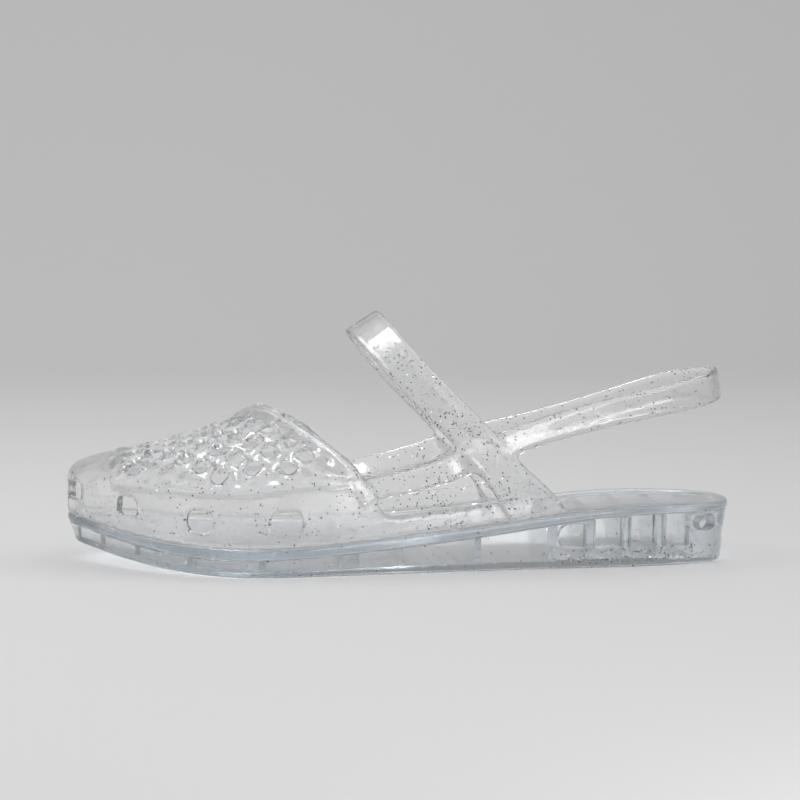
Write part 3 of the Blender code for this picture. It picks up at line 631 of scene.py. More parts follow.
throat_flat, throat_unrolled = [], []
for side in (1, -1):
    t, share = throat_side(side)
    order = slice(None, None, -1) if side > 0 else slice(1, None)
    throat_flat.append(web_flat(t, share, side)[order])
    throat_unrolled.append(np.stack([t, side * girth_at(t, share, side)], 1)[order])
throat_flat = np.vstack(throat_flat)
throat_unrolled = np.vstack(throat_unrolled)

rear_outer = float(around_at(RAIL_REAR, -1))
rear_inner = float(around_at(RAIL_REAR + RAIL_INNER_SHIFT, 1))
foot_outer = float(around_at(THROAT[-1][0] - RAIL_OVERLAP, -1))
foot_inner = float(around_at(THROAT[-1][0] + INNER_SIDE_SHIFT - RAIL_OVERLAP, 1))


def rand_line(first, last, up):
    around = np.linspace(first, last, max(2, int(abs(last - first) / LINE_STEP)))
    return rand_flat(around, np.full(len(around), up))


outline = np.vstack([
    rand_line(rear_outer, rear_inner, FIT_GAP),
    rand_line(rear_inner, foot_inner, RAIL_HEIGHT),
    spread(throat_flat),
    rand_line(foot_outer, rear_outer, RAIL_HEIGHT),
])
print("outline of the upper:", len(outline), "points")

# %% Cut-outs of the rand and openings of the weave
WEAVE_ANGLE = math.radians(46.0)
WEAVE_PITCH = 8.7
STRIP_WIDTH = 3.5
TOE_CAP_START = 227.0
WEAVE_REAR = 140.0
WEAVE_ORIGIN = TOE_CAP_START - 50.0
WEAVE_CELLS = range(-14, 14)
LOWEST_SHARE = 0.985
RIM_WIDTH = 5.5
RIM_CLEARANCE = 1.5
BEHIND_THROAT = 60.0
# Each window of the rand: middle round the toe, width, sill, height
RAND_WINDOWS = [
    (-104.4, 11.5, 5.2, 7.6), (-72.5, 10.0, 5.2, 7.4), (-40.5, 9.5, 5.6, 7.0),
    (-8.5, 9.0, 5.8, 6.6), (23.5, 9.5, 5.6, 7.0), (55.5, 10.0, 5.2, 7.4),
    (87.5, 11.5, 5.2, 7.6),
]


def rounded_box(power, count):
    """Unit square with soft corners, as a ring from -1 to 1."""
    turn = np.linspace(0, 2 * math.pi, count, endpoint=False)
    x, y = np.cos(turn), np.sin(turn)
    return np.stack([np.sign(x) * np.abs(x) ** power, np.sign(y) * np.abs(y) ** power], 1)


def inside(points, ring):
    """Which flat points lie inside a closed line."""
    after = np.roll(ring, -1, 0)
    held = np.zeros(len(points), bool)
    for a, b in zip(ring, after):
        crosses = (a[1] > points[:, 1]) != (b[1] > points[:, 1])
        if crosses.any():
            at = a[0] + (points[:, 1] - a[1]) / (b[1] - a[1] + 1e-12) * (b[0] - a[0])
            held ^= crosses & (points[:, 0] < at)
    return held


def from_throat(unrolled):
    """Distance of (station, girth) points from the throat edge."""
    line = spread(throat_unrolled)
    return np.array([np.hypot(*(line - point).T).min() for point in unrolled])


holes = []
for middle, width, sill, tall in RAND_WINDOWS:
    ring = rounded_box(0.55, 26)
    holes.append(rand_flat(middle + ring[:, 0] * width / 2, sill + (ring[:, 1] + 1) * tall / 2))

behind = [(BEHIND_THROAT, throat_unrolled[k][1]) for k in (-1, 0)]
throat_region = np.vstack([throat_unrolled, behind])
opening_half = (WEAVE_PITCH - STRIP_WIDTH) / 2
for i in WEAVE_CELLS:
    for j in WEAVE_CELLS:
        cell = rounded_box(0.62, 16) * opening_half + (np.array([i, j]) + 0.5) * WEAVE_PITCH
        t = WEAVE_ORIGIN + cell.sum(1) * math.cos(WEAVE_ANGLE)
        g = (cell[:, 0] - cell[:, 1]) * math.sin(WEAVE_ANGLE)
        if t.min() < WEAVE_REAR or t.max() > TOE_CAP_START:
            continue
        share = np.array([share_at(a, abs(b), -1 if b < 0 else 1) for a, b in zip(t, g)])
        unrolled = np.stack([t, g], 1)
        if share.max() > LOWEST_SHARE or inside(unrolled, throat_region).any():
            continue
        if from_throat(unrolled).min() < RIM_WIDTH + RIM_CLEARANCE:
            continue
        side = np.where(g < 0, -1, 1)
        across = ridge_line(t) + side * share * np.where(g < 0, half_width(t, -1), half_width(t, 1))
        holes.append(np.stack([t, across], 1))
print("cut-outs:", len(RAND_WINDOWS), "in the rand,", len(holes) - len(RAND_WINDOWS), "in the weave")

# %% [markdown]
# ## Points of the pattern
# Between the lines the pattern is filled with loose points under a millimetre apart, so
# that the relief of the weave has something to bend. Round the tip of the toe the
# surface turns down steeply, and there the points follow rays from the toe's centre,
# crowded towards the rand. A constrained Delaunay triangulation then joins everything
# and keeps the lines as edges.

# %% Loose points
POINT_STEP = 0.95
TOE_RAY_STEP = 0.8
LINE_CLEARANCE = 0.5
POINT_CLEARANCE = 0.35


def in_a_hole(points):
    """Which flat points lie inside any of the cut-outs."""
    held = np.zeros(len(points), bool)
    for hole in holes:
        near = ((points > hole.min(0)) & (points < hole.max(0))).all(1)
        near[near] = inside(points[near], hole)
        held |= near
    return held


loose = []
for t in np.arange(SECTIONS[0], TOE_ROUND_START, POINT_STEP):
    for side in (-1, 1):
        reach = float(girth_at(np.array([t]), np.array([1.0]), side)[0])
        girths = np.arange(POINT_STEP / 2, reach - 0.4, POINT_STEP)
        share = share_at(t, girths, side)
        across = ridge_line(t) + side * share * half_width(t, side)
        loose.append(np.stack([np.full(len(girths), t), across], 1))
toe_middle = np.array([TOE_CENTRE, float(ridge_line(TOE_CENTRE))])
rays = 1 - np.linspace(0.06, 1, 44) ** 1.7
for around in np.arange(-75.0, 75.0, TOE_RAY_STEP):
    spots = toe_middle + (read_round(RAND_TOP, around) - toe_middle) * rays[:, None]
    loose.append(spots[spots[:, 0] > TOE_ROUND_START])
for around in np.arange(rear_outer + 1.0, rear_inner - 1.0, POINT_STEP):
    tall = float(np.interp(around, AROUND, RAND_TALL))
    ups = np.arange(FIT_GAP + POINT_STEP, tall - 0.3, POINT_STEP)
    loose.append(rand_flat(np.full(len(ups), around), ups))
loose = np.vstack(loose)
loose = loose[inside(loose, outline)]

line_tree = KDTree(len(outline) + sum(len(hole) for hole in holes))
for point in np.vstack([outline] + holes):
    line_tree.insert((point[0], point[1], 0.0), 0)
line_tree.balance()
clear = np.array([line_tree.find((x, y, 0.0))[2] > LINE_CLEARANCE for x, y in loose])
loose = loose[clear & ~in_a_hole(loose)]
_, order = np.unique(np.round(loose / POINT_CLEARANCE), axis=0, return_index=True)
loose = loose[np.sort(order)]
print("loose points:", len(loose))

# %% Triangulate the pattern
flat = np.vstack([outline] + holes + [loose])
edges = []
first = 0
for ring in [outline] + holes:
    count = len(ring)
    edges += [(first + i, first + (i + 1) % count) for i in range(count)]
    first += count
result = delaunay_2d_cdt([Vector(map(float, point)) for point in flat], edges, [], 0, 1e-5, False)
flat = np.array([tuple(point) for point in result[0]])
faces = np.array([face for face in result[2] if len(face) == 3])
middles = flat[faces].mean(1)
faces = faces[inside(middles, outline) & ~in_a_hole(middles)]
used = np.unique(faces)
renumber = np.zeros(len(flat), int)
renumber[used] = np.arange(len(used))
flat, faces = flat[used], renumber[faces]
print("pattern:", len(flat), "points,", len(faces), "triangles")

# %% [markdown]
# ## The relief of the weave
# In the mould the strips of the weave pass over and under each other, although it is all
# one piece of plastic. For each point the relief asks two questions: how far is it from
# the middle of the nearest strip each way, and is that strip on top here? The higher of
# the two strips wins. The throat has a raised rim, the rand stands proud along a rounded
# ledge, and the toe cap is plain.

# %% Relief by formula
RIM_RELIEF = 1.6
RAND_RELIEF = 0.9
STRIP_HEIGHT = 0.95
STRIP_WAVE = 0.5
STRIP_CROWN = 2.15
BEAD_HEIGHT = 1.15
BEAD_WIDTH = 1.1


def ramp(value, low, high):
    """0 below low, 1 above high, soft between."""
    part = np.clip((value - low) / (high - low), 0, 1)
    return part * part * (3 - 2 * part)


def strip(away, along, phase):
    """Height of one set of strips: crowned across, rising and dipping along."""
    crown = np.sqrt(np.clip(1 - (away * WEAVE_PITCH / STRIP_CROWN) ** 2, 0, 1))
    return crown * (STRIP_HEIGHT + STRIP_WAVE * np.cos(math.pi * (along + phase)))


def weave_relief(station, girth):
    along = (station - WEAVE_ORIGIN) / math.cos(WEAVE_ANGLE)
    aside = girth / math.sin(WEAVE_ANGLE)
    u = (along + aside) / 2 / WEAVE_PITCH
    v = (along - aside) / 2 / WEAVE_PITCH
    column, row = np.round(u), np.round(v)
    return np.maximum(strip(u - column, v, column), strip(v - row, u, row + 1))


def relief_at(place):
    """Height of the relief over the web for (station, girth, share, down) rows."""
    station, girth, share, down = place.T
    height = 0.15 + weave_relief(station, girth)
    cap = ramp(station, TOE_CAP_START - 0.4, TOE_CAP_START + 0.8)
    height = height * (1 - cap) + (RAND_RELIEF - 0.1) * cap
    wall = ramp(down, -0.9, 0.1)
    bead = BEAD_HEIGHT * np.exp(-((down - 1.0) / BEAD_WIDTH) ** 2) * (1 - cap)
    thinner = ramp(station, 91.0, 96.0)
    height = height * (1 - wall) + (RAND_RELIEF * thinner + bead) * wall
    gap = from_throat(np.stack([station, girth], 1))
    rim = (1 - ramp(gap, RIM_WIDTH - 0.2, RIM_WIDTH + 0.9)) * (1 - ramp(share, 1.45, 1.62))
    groove = 0.3 * np.exp(-((gap - 2.1) / 0.45) ** 2)
    return height * (1 - rim) + (RIM_RELIEF + 0.1 - groove) * rim


# %% Wall of the upper
UPPER_WALL = 2.0


def read_all(items, field, kind=float):
    """A three-part field of many mesh items, as the rows of an array."""
    rows = np.empty(len(items) * 3, dtype=kind)
    items.foreach_get(field, rows)
    return rows.reshape(-1, 3)


def weigh(item, name, weights):
    """Give each point of an object its weight in a new group."""
    group = item.vertex_groups.new(name=name)
    for index in np.flatnonzero(weights > 0.01):
        group.add([int(index)], float(weights[index]), "REPLACE")


points, place = lay_on_last(flat)
relief = relief_at(place)
web = mesh_object("web", points, [tuple(map(int, face)) for face in faces])
ways = read_all(web.data.vertex_normals, "vector")
if ways[:, 2].sum() < 0:
    web.data.flip_normals()
    ways = -ways
web.data.vertices.foreach_set("co", (points + ways * relief[:, None] * MM).ravel())
web.data.update()
thickest = UPPER_WALL + relief.max()
weigh(web, "wall", (UPPER_WALL + relief) / thickest)
shell = web.modifiers.new("Wall", "SOLIDIFY")
shell.thickness = thickest * MM
shell.vertex_group = "wall"
shell.offset = -1.0
apply_modifiers(web)
print("web with its wall:", len(web.data.polygons), "faces, relief up to", round(float(relief.max()), 2), "mm")

# %% [markdown]
# ## The straps
# Two bands loop over the foot: one up over the instep and one round the heel. They cross
# at each side and are fused there. Each is a loft: a rounded section carried along a
# curve through a short table, always facing away from a point inside the foot. Sections
# a millimetre and a half apart leave no facets in the long reflections.

# %% Straps as lofts
INSTEP_STRAP = [
    (70.4, -29.6, 14.2, 21.0, 3.8), (76.6, -30.2, 22.5, 18.5, 3.8), (84.7, -31.9, 32.1, 15.2, 3.0),
    (94.7, -33.2, 44.0, 14.5, 2.8), (104.5, -31.4, 54.6, 13.5, 2.6), (114.4, -28.0, 64.6, 13.5, 2.6),
    (124.4, -20.0, 75.4, 13.5, 2.6), (131.8, -10.5, 84.0, 13.9, 2.6), (135.8, 1.0, 88.2, 14.2, 2.6),
    (133.4, 12.5, 84.0, 13.9, 2.6), (126.6, 20.5, 75.4, 13.5, 2.6), (116.9, 26.2, 64.6, 13.5, 2.6),
    (107.0, 28.4, 54.6, 13.5, 2.6), (97.2, 28.4, 44.0, 14.5, 2.8), (87.2, 26.0, 32.1, 15.2, 3.4),
    (79.1, 24.3, 22.5, 18.5, 4.0), (72.9, 23.9, 14.2, 21.0, 4.0),
]
INSTEP_CENTRE = (112.0, 0.0, 50.0)
HEEL_STRAP = [
    (140.0, -38.1, 30.2, 9.0, 2.4), (125.2, -37.0, 33.2, 9.0, 2.5), (107.5, -34.6, 37.7, 9.5, 2.5),
    (94.7, -32.6, 42.7, 10.0, 2.4), (82.6, -31.0, 47.3, 9.8, 2.4), (72.4, -29.7, 50.6, 9.8, 2.4),
    (59.6, -28.2, 54.0, 10.0, 2.4), (47.7, -26.7, 56.8, 10.2, 2.4), (33.5, -24.2, 59.6, 10.5, 2.4),
    (19.9, -20.0, 62.0, 11.0, 2.4), (10.1, -13.8, 64.0, 11.4, 2.4), (4.2, 0.3, 65.4, 11.6, 2.4),
    (10.1, 14.2, 64.0, 11.4, 2.4), (19.9, 20.0, 62.0, 11.0, 2.4), (33.5, 23.0, 58.0, 10.5, 2.4),
    (48.0, 24.2, 53.6, 10.2, 2.4), (61.0, 25.0, 49.9, 10.0, 2.4), (74.5, 25.9, 46.6, 9.8, 2.4),
    (85.0, 26.8, 44.2, 9.8, 2.4), (97.2, 27.9, 41.0, 10.0, 2.4), (110.0, 28.0, 36.8, 9.5, 2.5),
    (129.0, 28.4, 32.0, 9.0, 2.5), (147.0, 31.9, 29.2, 9.0, 2.4),
]
HEEL_CENTRE = (50.0, 0.0, 58.0)
STRAP_STEP = 1.5
STRAP_CORNER = 1.1
STRAP_SPARE = 0.35


def strap_section(half, thick):
    """Rounded section of a strap, a little wide for what the smoothing takes off its edges."""
    half = half + STRAP_SPARE
    ring = []
    for sign_a, sign_b, turn in ((1, 1, 0), (-1, 1, 90), (-1, -1, 180), (1, -1, 270)):
        for step in (0, 30, 60, 90):
            angle = math.radians(turn + step)
            ring.append((sign_a * (half - STRAP_CORNER) + STRAP_CORNER * math.cos(angle),
                         sign_b * (thick - STRAP_CORNER) + STRAP_CORNER * math.sin(angle)))
    return ring


def make_strap(name, rows, centre):
    rows = np.asarray(rows, float)
    keys = run_along(rows[:, :3])
    places = np.linspace(0.0, keys[-1], int(keys[-1] / STRAP_STEP))
    smooth = np.stack([smooth_through(keys, rows[:, k], places) for k in range(5)], 1)
    heading = np.gradient(smooth[:, :3], axis=0)
    vertices = []
    for row, way in zip(smooth, heading):
        along = Vector((-way[0], way[1], way[2])).normalized()
        here = Vector(world(*row[:3]))
        away = here - Vector(world(*centre))
        out = (away - along * away.dot(along)).normalized()
        wide = along.cross(out)
        vertices += [here + wide * a * MM + out * b * MM for a, b in strap_section(row[3] / 2, row[4] / 2)]
    size = len(strap_section(1, 1))
    count = len(vertices) // size
    faces = [tuple(range(size)), tuple(range((count - 1) * size, count * size))]
    for level in range(count - 1):
        faces += band(level * size, (level + 1) * size, size)
    return mesh_object(name, vertices, faces)


instep = make_strap("instep_band", INSTEP_STRAP, INSTEP_CENTRE)
trim = ruled_solid("hem_trim", [(-6.0, lambda t: footbed_top(t) - 24.0),
                                (-6.0, lambda t: footbed_top(t) + FIT_GAP)])
combine(instep, trim, "DIFFERENCE")
heel_band = make_strap("heel_band", HEEL_STRAP, HEEL_CENTRE)
print("straps:", len(instep.data.polygons), "and", len(heel_band.data.polygons), "faces")

# %% [markdown]
# ## One moulding
# The upper comes out of one mould, so the web and the straps must be one skin with soft
# inner corners. A Boolean would leave sharp seams. A voxel remesh wraps all the pieces in
# one even skin instead, and a few rounds of smoothing give every edge the small radius
# that soft plastic has. The plain bands take more rounds than the weave, whose strips
# would fade, and the corners where the bands cross take most, which fills them a little
# as the mould does.

# %% Fuse and soften the upper
VOXEL = 0.75
SOFTEN_ROUNDS = 5
BAND_ROUNDS = 7
BAND_FRONT = 136.0
CROSSING_ROUNDS = 14
CROSSINGS = [(95.0, -33.0, 42.6), (96.0, 27.9, 41.4)]
CROSSING_REACH = 13.0
upper = joined("upper_moulding", [
    ([vertex.co for vertex in item.data.vertices], [tuple(face.vertices) for face in item.data.polygons])
    for item in (web, instep, heel_band)
])
drop(web, instep, heel_band)
skin = upper.modifiers.new("One skin", "REMESH")
skin.mode = "VOXEL"
skin.voxel_size = VOXEL * MM
skin.adaptivity = 0.0
soft = upper.modifiers.new("Soft edges", "SMOOTH")
soft.factor = 0.5
soft.iterations = SOFTEN_ROUNDS
apply_modifiers(upper)


def soften_more(item, name, weights, rounds):
    """Smooth only a part of a skin, where the weights say how much."""
    weigh(item, name, weights)
    step = item.modifiers.new(name, "SMOOTH")
    step.factor = 0.5
    step.iterations = rounds
    step.vertex_group = name
    apply_modifiers(item)
    item.vertex_groups.clear()


skin_points = read_all(upper.data.vertices, "co")
skin_from_heel = SOLE_LENGTH / 2 - skin_points[:, 0] / MM
bands = np.maximum(1 - ramp(skin_from_heel, BAND_FRONT - 10.0, BAND_FRONT),
                   ramp(skin_points[:, 2] / MM, 58.0, 62.0))
soften_more(upper, "smooth bands", bands, BAND_ROUNDS)
away = np.min([np.linalg.norm(skin_points - world(*spot), axis=1) / MM for spot in CROSSINGS], 0)
near = 1 - ramp(away, CROSSING_REACH - 5.0, CROSSING_REACH)
soften_more(upper, "filled corners", near, CROSSING_ROUNDS)
upper.data.shade_smooth()
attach(upper, "root")
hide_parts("upper")
print("upper:", len(upper.data.polygons) * 2, "triangles")

# %% [markdown]
# ## Glitter
# Fine metal flakes are stirred into the plastic before it is moulded. They lie mostly
# flat to the nearest wall and are about half a millimetre across. Each one is a thin
# six-sided plate, set at a seeded random spot under the skin, so it shows through the
# clear plastic from both sides. All the flakes of one moulding are one mesh.

# %% Scatter flakes under a skin
FLAKE_THICKNESS = 0.03
FLAKE_RADIUS = (0.19, 0.34)
CLUSTER_WAVE = 210.0
SPOTS_PER_FLAKE = 8


def patchy(spots):
    """Slow uneven stirring: more flakes in some places than in others."""
    x, y, z = spots.T * CLUSTER_WAVE
    swirl = np.sin(x + 1.3) * np.sin(y + 0.4) + np.sin(z * 1.7 + x * 0.6)
    return 0.35 + 0.65 * np.clip(0.5 + 0.5 * swirl, 0.0, 1.0)


def most_at_the_crossing(spots):
    """The upper has most of its flakes where the bands cross and in the rear of the rand."""
    from_heel = SOLE_LENGTH / 2 - spots[:, 0] / MM
    return patchy(spots) * (0.8 + 1.6 * np.exp(-((from_heel - 96.0) / 24.0) ** 2))


def most_under_the_heel(spots):
    """The sole has most of its flakes in the thick band under the heel windows."""
    from_heel = SOLE_LENGTH / 2 - spots[:, 0] / MM
    low_heel = (from_heel < 68.0) & (np.abs(spots[:, 2] / MM - 4.3) < 2.9)
    return patchy(spots) * np.where(low_heel, 30.0, 1.0)


def spots_on_skin(item, count, draw):
    """Random spots spread evenly over a skin, and the way out of the plastic at each."""
    mesh = item.data
    mesh.calc_loop_triangles()
    places = read_all(mesh.vertices, "co")
    a, b, c = places[read_all(mesh.loop_triangles, "vertices", np.int32)].transpose(1, 0, 2)
    cross = np.cross(b - a, c - a)
    areas = np.linalg.norm(cross, axis=1)
    picked = draw.choice(len(areas), count, p=areas / areas.sum())
    u, v = draw.uniform(0, 1, (2, count, 1))
    past = u + v > 1
    u, v = np.where(past, 1 - u, u), np.where(past, 1 - v, v)
    spots = a[picked] + (b - a)[picked] * u + (c - a)[picked] * v
    return spots, cross[picked] / areas[picked, None]


def scatter_flakes(name, item, count, deep, seed, likely):
    """Hexagonal plates at random spots under the skin of a moulding."""
    draw = np.random.default_rng(seed)
    spots, normals = spots_on_skin(item, count * SPOTS_PER_FLAKE, draw)
    chance = likely(spots)
    picked = draw.choice(len(spots), count, replace=False, p=chance / chance.sum())
    spots = spots[picked] - normals[picked] * draw.uniform(*deep, (count, 1)) * MM
    lean = normals[picked] + draw.normal(0, 0.45, (count, 3))
    lean /= np.linalg.norm(lean, axis=1)[:, None]
    helper = np.where(np.abs(lean[:, 2:]) < 0.9, (0.0, 0.0, 1.0), (1.0, 0.0, 0.0))
    first = np.cross(lean, helper)
    first /= np.linalg.norm(first, axis=1)[:, None]
    second = np.cross(lean, first)
    radius = draw.uniform(*FLAKE_RADIUS, count) * MM
    spin = draw.uniform(0, math.pi, count)
    corners = []
    for level in (-0.5, 0.5):
        for k in range(6):
            angle = spin + k * math.pi / 3
            corners.append(spots + first * (np.cos(angle) * radius)[:, None]
                           + second * (np.sin(angle) * radius)[:, None]
                           + lean * level * FLAKE_THICKNESS * MM)
    vertices = np.stack(corners, 1).reshape(-1, 3)
    faces = []
    for base in range(0, count * 12, 12):
        faces += [tuple(base + k for k in range(6)), tuple(base + 11 - k for k in range(6))]
        faces += band(base, base + 6, 6)
    flakes = mesh_object(name, vertices, faces)
    # Each flake's random value picks bright silver or a painted near-black shade
    silver_or_painted_dark = flakes.data.attributes.new("silver_or_painted_dark", "FLOAT", "FACE")
    silver_or_painted_dark.data.foreach_set("value", np.repeat(draw.uniform(0, 1, count), 8))
    return flakes


glitter = {
    "upper": scatter_flakes("glitter_in_upper", upper, 2600, (0.45, 1.2), 11, most_at_the_crossing),
    "footbed": scatter_flakes("glitter_in_footbed", footbed, 400, (0.5, 1.6), 12, patchy),
    "outsole": scatter_flakes("glitter_in_sole", sole, 1800, (0.5, 1.2), 13, most_under_the_heel),
}
for slot, flakes in glitter.items():
    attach(flakes, "root")
    print(flakes.name, "has", len(flakes.data.polygons) // 8, "flakes")

# %% [markdown]
# ## Clear plastic
# Soft clear plastic bends light like glass, only less. A Principled shader with nearly
# full transmission does that. Three more things make it read as plastic: it is slightly
# milky, which is the small share that doesn't pass through, long paths through it turn
# slightly blue, which is absorption in the volume, and its skin isn't quite even, which
# is a very weak bump with slow changes of gloss. A thin coat keeps the highlights sharp
# over a body that is softer than glass. The footbed is the milkiest of the three.

# %% Helpers for materials
def set_sockets(node, settings):
    for socket, value in settings.items():
        node.inputs[socket].default_value = value
    return node


def new_material(name, settings):
    """A material, its node tree, and its Principled shader with these sockets set."""
    shade = bpy.data.materials.new(name)
    shade.use_nodes = True
    tree = shade.node_tree
    return shade, tree, set_sockets(tree.nodes["Principled BSDF"], settings)


def add_node(tree, kind, settings):
    return set_sockets(tree.nodes.new(kind), settings)


def add_colour_mix(tree, first, second):
    """A node that goes from one colour to another."""
    mix = tree.nodes.new("ShaderNodeMix")
    mix.data_type = "RGBA"
    return set_sockets(mix, {"A": (*first, 1.0), "B": (*second, 1.0)})


def link(tree, giver, output, taker, socket):
    tree.links.new(giver.outputs[output], taker.inputs[socket])


print("a material's own sockets keep what is the same all over its surface")

# %% Plastic shader
PLASTIC_IOR = 1.42
MILKY_SHADE = 0.985
DULLEST, GLOSSIEST = 1.5, 0.6


def clear_plastic(name, tint, clarity, gloss, blue, density, wave, wave_height):
    shade, tree, surface = new_material(name, {
        "Transmission Weight": clarity, "IOR": PLASTIC_IOR, "Metallic": 0.0,
        "Coat Weight": 0.35, "Coat Roughness": 0.05,
    })
    spot = add_node(tree, "ShaderNodeTexCoord", {})
    cloud = add_node(tree, "ShaderNodeTexNoise", {"Scale": 42.0, "Detail": 3.0})
    milky = add_colour_mix(tree, [channel * MILKY_SHADE for channel in tint], tint)
    polish = add_node(tree, "ShaderNodeMapRange", {"To Min": gloss * GLOSSIEST, "To Max": gloss * DULLEST})
    ripple = add_node(tree, "ShaderNodeTexNoise", {"Scale": wave, "Detail": 2.0})
    bump = add_node(tree, "ShaderNodeBump", {"Strength": 0.5, "Distance": wave_height * MM})
    inner = add_node(tree, "ShaderNodeVolumeAbsorption", {"Color": (*blue, 1.0), "Density": density})
    link(tree, spot, "Object", cloud, "Vector")
    link(tree, cloud, "Fac", milky, "Factor")
    link(tree, milky, "Result", surface, "Base Color")
    link(tree, cloud, "Fac", polish, "Value")
    link(tree, polish, "Result", surface, "Roughness")
    link(tree, spot, "Object", ripple, "Vector")
    link(tree, ripple, "Fac", bump, "Height")
    link(tree, bump, "Normal", surface, "Normal")
    link(tree, inner, "Volume", tree.nodes["Material Output"], "Volume")
    return shade


def dress(item, shade):
    item.data.materials.clear()
    item.data.materials.append(shade)


dress(upper, clear_plastic("clear upper plastic", (0.985, 0.985, 0.985), 0.94, 0.11,
                           (0.58, 0.62, 0.66), 6.0, 260.0, 0.12))
dress(footbed, clear_plastic("clear footbed plastic", (0.955, 0.976, 0.99), 0.93, 0.14,
                             (0.34, 0.53, 0.66), 8.0, 220.0, 0.10))
dress(sole, clear_plastic("clear sole plastic", (0.985, 0.994, 0.999), 0.97, 0.14,
                          (0.38, 0.55, 0.67), 7.5, 220.0, 0.12))
print("plastics made for", upper.name, footbed.name, sole.name)

# %% [markdown]
# ## Metal flakes
# A flake that faces a light flashes white, and one that doesn't looks almost black. On the
# silver flakes that comes from a metal surface with a little roughness. A random value on
# each flake's faces picks its colour: some flakes are bright silver, and most of the others
# are painted near black, a painted shade for flakes that catch no light.

# %% Flake shader
def flake_metal():
    shade, tree, surface = new_material("glitter flakes", {"Metallic": 1.0, "Roughness": 0.28})
    silver_or_painted_dark = add_node(tree, "ShaderNodeAttribute", {})
    silver_or_painted_dark.attribute_name = "silver_or_painted_dark"
    silver_and_painted_dark = add_node(tree, "ShaderNodeValToRGB", {})
    # Low values give the painted shade, near black, and high values give bright silver
    silver_and_painted_dark.color_ramp.elements[0].position = 0.60
    silver_and_painted_dark.color_ramp.elements[0].color = (0.035, 0.036, 0.04, 1.0)
    silver_and_painted_dark.color_ramp.elements[1].position = 0.75
    silver_and_painted_dark.color_ramp.elements[1].color = (0.95, 0.95, 0.96, 1.0)
    link(tree, silver_or_painted_dark, "Fac", silver_and_painted_dark, "Fac")
    link(tree, silver_and_painted_dark, "Color", surface, "Base Color")
    return shade


metal = flake_metal()
for flakes in glitter.values():
    dress(flakes, metal)
print("one metal for", len(glitter), "meshes of flakes")

# %% [markdown]
# ## Floor, backdrop and light
# A clear thing is drawn by what is behind it. The set is one pale sheet: a floor that
# curves up into a wall far behind, with no line between them. The mouldings are set to cast
# no shadow, because a lamp's shadow test would take clear plastic for something solid, so a
# soft shadow is painted into the paper's colour under the shoe. A broad light from above and
# a small panel low at the side give the white streaks. The pale world fills in the rest, as
# white walls do.

# %% Seamless sheet
SHEET_HALF_WIDTH = 3.0
SHEET_FRONT = -2.5
SHEET_BEND_START = 0.9
SHEET_BEND_RADIUS = 0.8
SHEET_TOP = 3.0

profile = [(SHEET_FRONT, 0.0)]
for angle in np.linspace(0, math.pi / 2, 24):
    profile.append((SHEET_BEND_START + SHEET_BEND_RADIUS * math.sin(angle),
                    SHEET_BEND_RADIUS * (1 - math.cos(angle))))
profile.append((SHEET_BEND_START + SHEET_BEND_RADIUS, SHEET_TOP))
corners = [(x, y, z) for y, z in profile for x in (-SHEET_HALF_WIDTH, SHEET_HALF_WIDTH)]
sheet_faces = [(2 * i, 2 * i + 1, 2 * i + 3, 2 * i + 2) for i in range(len(profile) - 1)]
sheet = mesh_object("studio_sheet", corners, sheet_faces)
sheet.data.shade_smooth()
print("sheet:", len(sheet_faces), "faces")

# %% Paper with a painted shade under the shoe
PAPER_TONE = (0.70, 0.70, 0.704)
# SHADE_TONE is a painted shade: the paper is darker in an oval under the shoe, in place of the shadow that the
# plastic doesn't cast
SHADE_TONE = (0.63, 0.63, 0.636)
SHADE_HALF = (0.134, 0.050)
SHADE_START = 0.75
SHADE_END = 1.35

paper, tree, surface = new_material("pale paper", {"Roughness": 0.7, "Specular IOR Level": 0.2})
spot = add_node(tree, "ShaderNodeTexCoord", {})
stretch = add_node(tree, "ShaderNodeVectorMath", {1: (1 / SHADE_HALF[0], 1 / SHADE_HALF[1], 1.0)})
stretch.operation = "MULTIPLY"
reach = add_node(tree, "ShaderNodeVectorMath", {})
reach.operation = "LENGTH"
fade = add_node(tree, "ShaderNodeMapRange", {"From Min": SHADE_START, "From Max": SHADE_END})
fade.interpolation_type = "SMOOTHSTEP"
# The paper's colour, with the painted shade mixed in under the shoe
floor_with_painted_shade = add_colour_mix(tree, SHADE_TONE, PAPER_TONE)
link(tree, spot, "Object", stretch, 0)
link(tree, stretch, "Vector", reach, 0)
link(tree, reach, "Value", fade, "Value")
link(tree, fade, "Result", floor_with_painted_shade, "Factor")
link(tree, floor_with_painted_shade, "Result", surface, "Base Color")
dress(sheet, paper)
print("shade on the paper in mm:", [round(2 * half / MM) for half in SHADE_HALF])


# %% Lights and world
def soft_light(name, place, aim, size, power):
    lamp = bpy.data.lights.new(name, "AREA")
    lamp.shape = "RECTANGLE"
    lamp.size, lamp.size_y = size
    lamp.energy = power
    item = bpy.data.objects.new(name, lamp)
    item.location = place
    item.rotation_euler = (Vector(aim) - Vector(place)).to_track_quat("-Z", "Y").to_euler()
    bpy.context.scene.collection.objects.link(item)
    return item


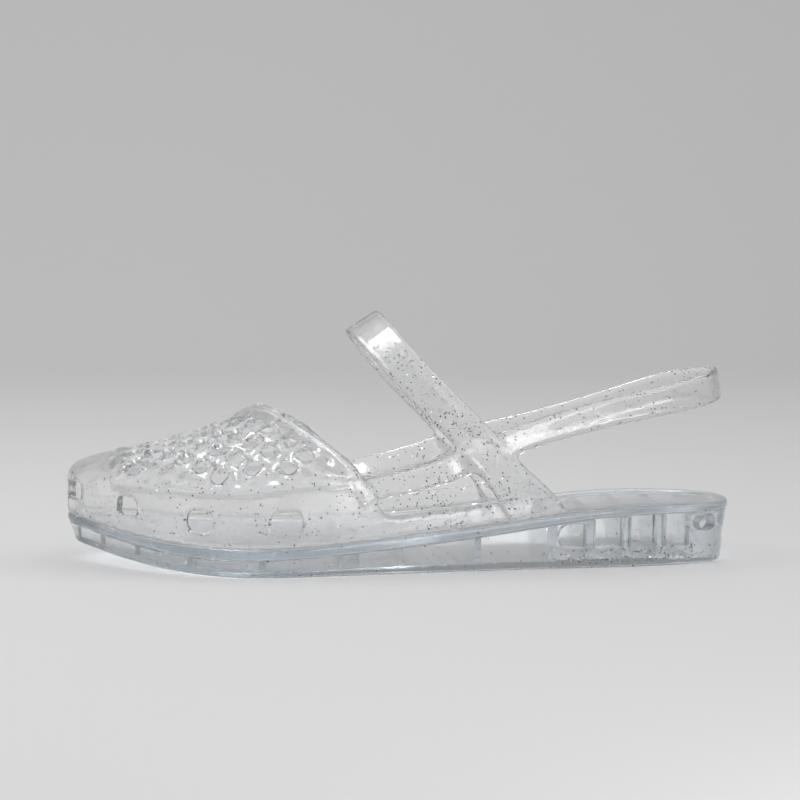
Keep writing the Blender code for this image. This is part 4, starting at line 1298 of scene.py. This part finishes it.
shoe_middle = (0.0, 0.0, 0.04)
overhead = soft_light("overhead box", (-0.35, -0.15, 1.3), shoe_middle, (0.55, 0.26), 8.6)
low_panel = soft_light("low panel", (0.17, -0.47, 0.05), (0.05, 0.0, 0.05), (0.16, 0.08), 0.22)
low_panel.visible_camera = False
low_panel.visible_transmission = False
# With no shadow in the way, the inside of the skirt would throw the light from above on the
# floor as a white patch, so this light reaches everything but the sole unit
unlit = bpy.data.collections.new("not lit from above")
unlit.objects.link(sole)
unlit.collection_objects[0].light_linking.link_state = "EXCLUDE"
overhead.light_linking.receiver_collection = unlit
studio = bpy.data.worlds.new("pale studio")
studio.use_nodes = True
set_sockets(studio.node_tree.nodes["Background"], {"Color": (0.945, 0.945, 0.95, 1.0), "Strength": 0.595})
scene = bpy.context.scene
scene.world = studio
scene.view_settings.view_transform = "Standard"
scene.cycles.max_bounces = 28
scene.cycles.transmission_bounces = 28
scene.cycles.glossy_bounces = 8
for item in (upper, footbed, sole):
    item.visible_shadow = False
print("lights:", overhead.name, "and", low_panel.name)

# %% [markdown]
# ## Camera
# The shoe is seen square from its outer side, from a little above the floor and a few
# degrees round towards the heel, through a long lens that keeps its proportions.

# %% Camera
CAMERA_DISTANCE = 0.9
CAMERA_TURN = math.radians(4.6)
CAMERA_RISE = math.radians(5.0)
AIM_RIGHT = 0.3 * MM
AIM_UP = 59.2 * MM
LENS = 109.1

right = Vector((math.cos(CAMERA_TURN), -math.sin(CAMERA_TURN), 0.0))
ahead = Vector((math.sin(CAMERA_TURN) * math.cos(CAMERA_RISE),
                math.cos(CAMERA_TURN) * math.cos(CAMERA_RISE), -math.sin(CAMERA_RISE)))
above = right.cross(ahead)
lens = bpy.data.cameras.new("camera")
lens.lens = LENS
lens.sensor_width = 36.0
camera = bpy.data.objects.new("camera", lens)
camera.location = right * AIM_RIGHT + above * AIM_UP - ahead * CAMERA_DISTANCE
camera.location.y -= MIDDLE_LINE * MM
camera.rotation_euler = ahead.to_track_quat("-Z", "Y").to_euler()
scene.collection.objects.link(camera)
scene.camera = camera
print("camera at", [round(value, 3) for value in camera.location])
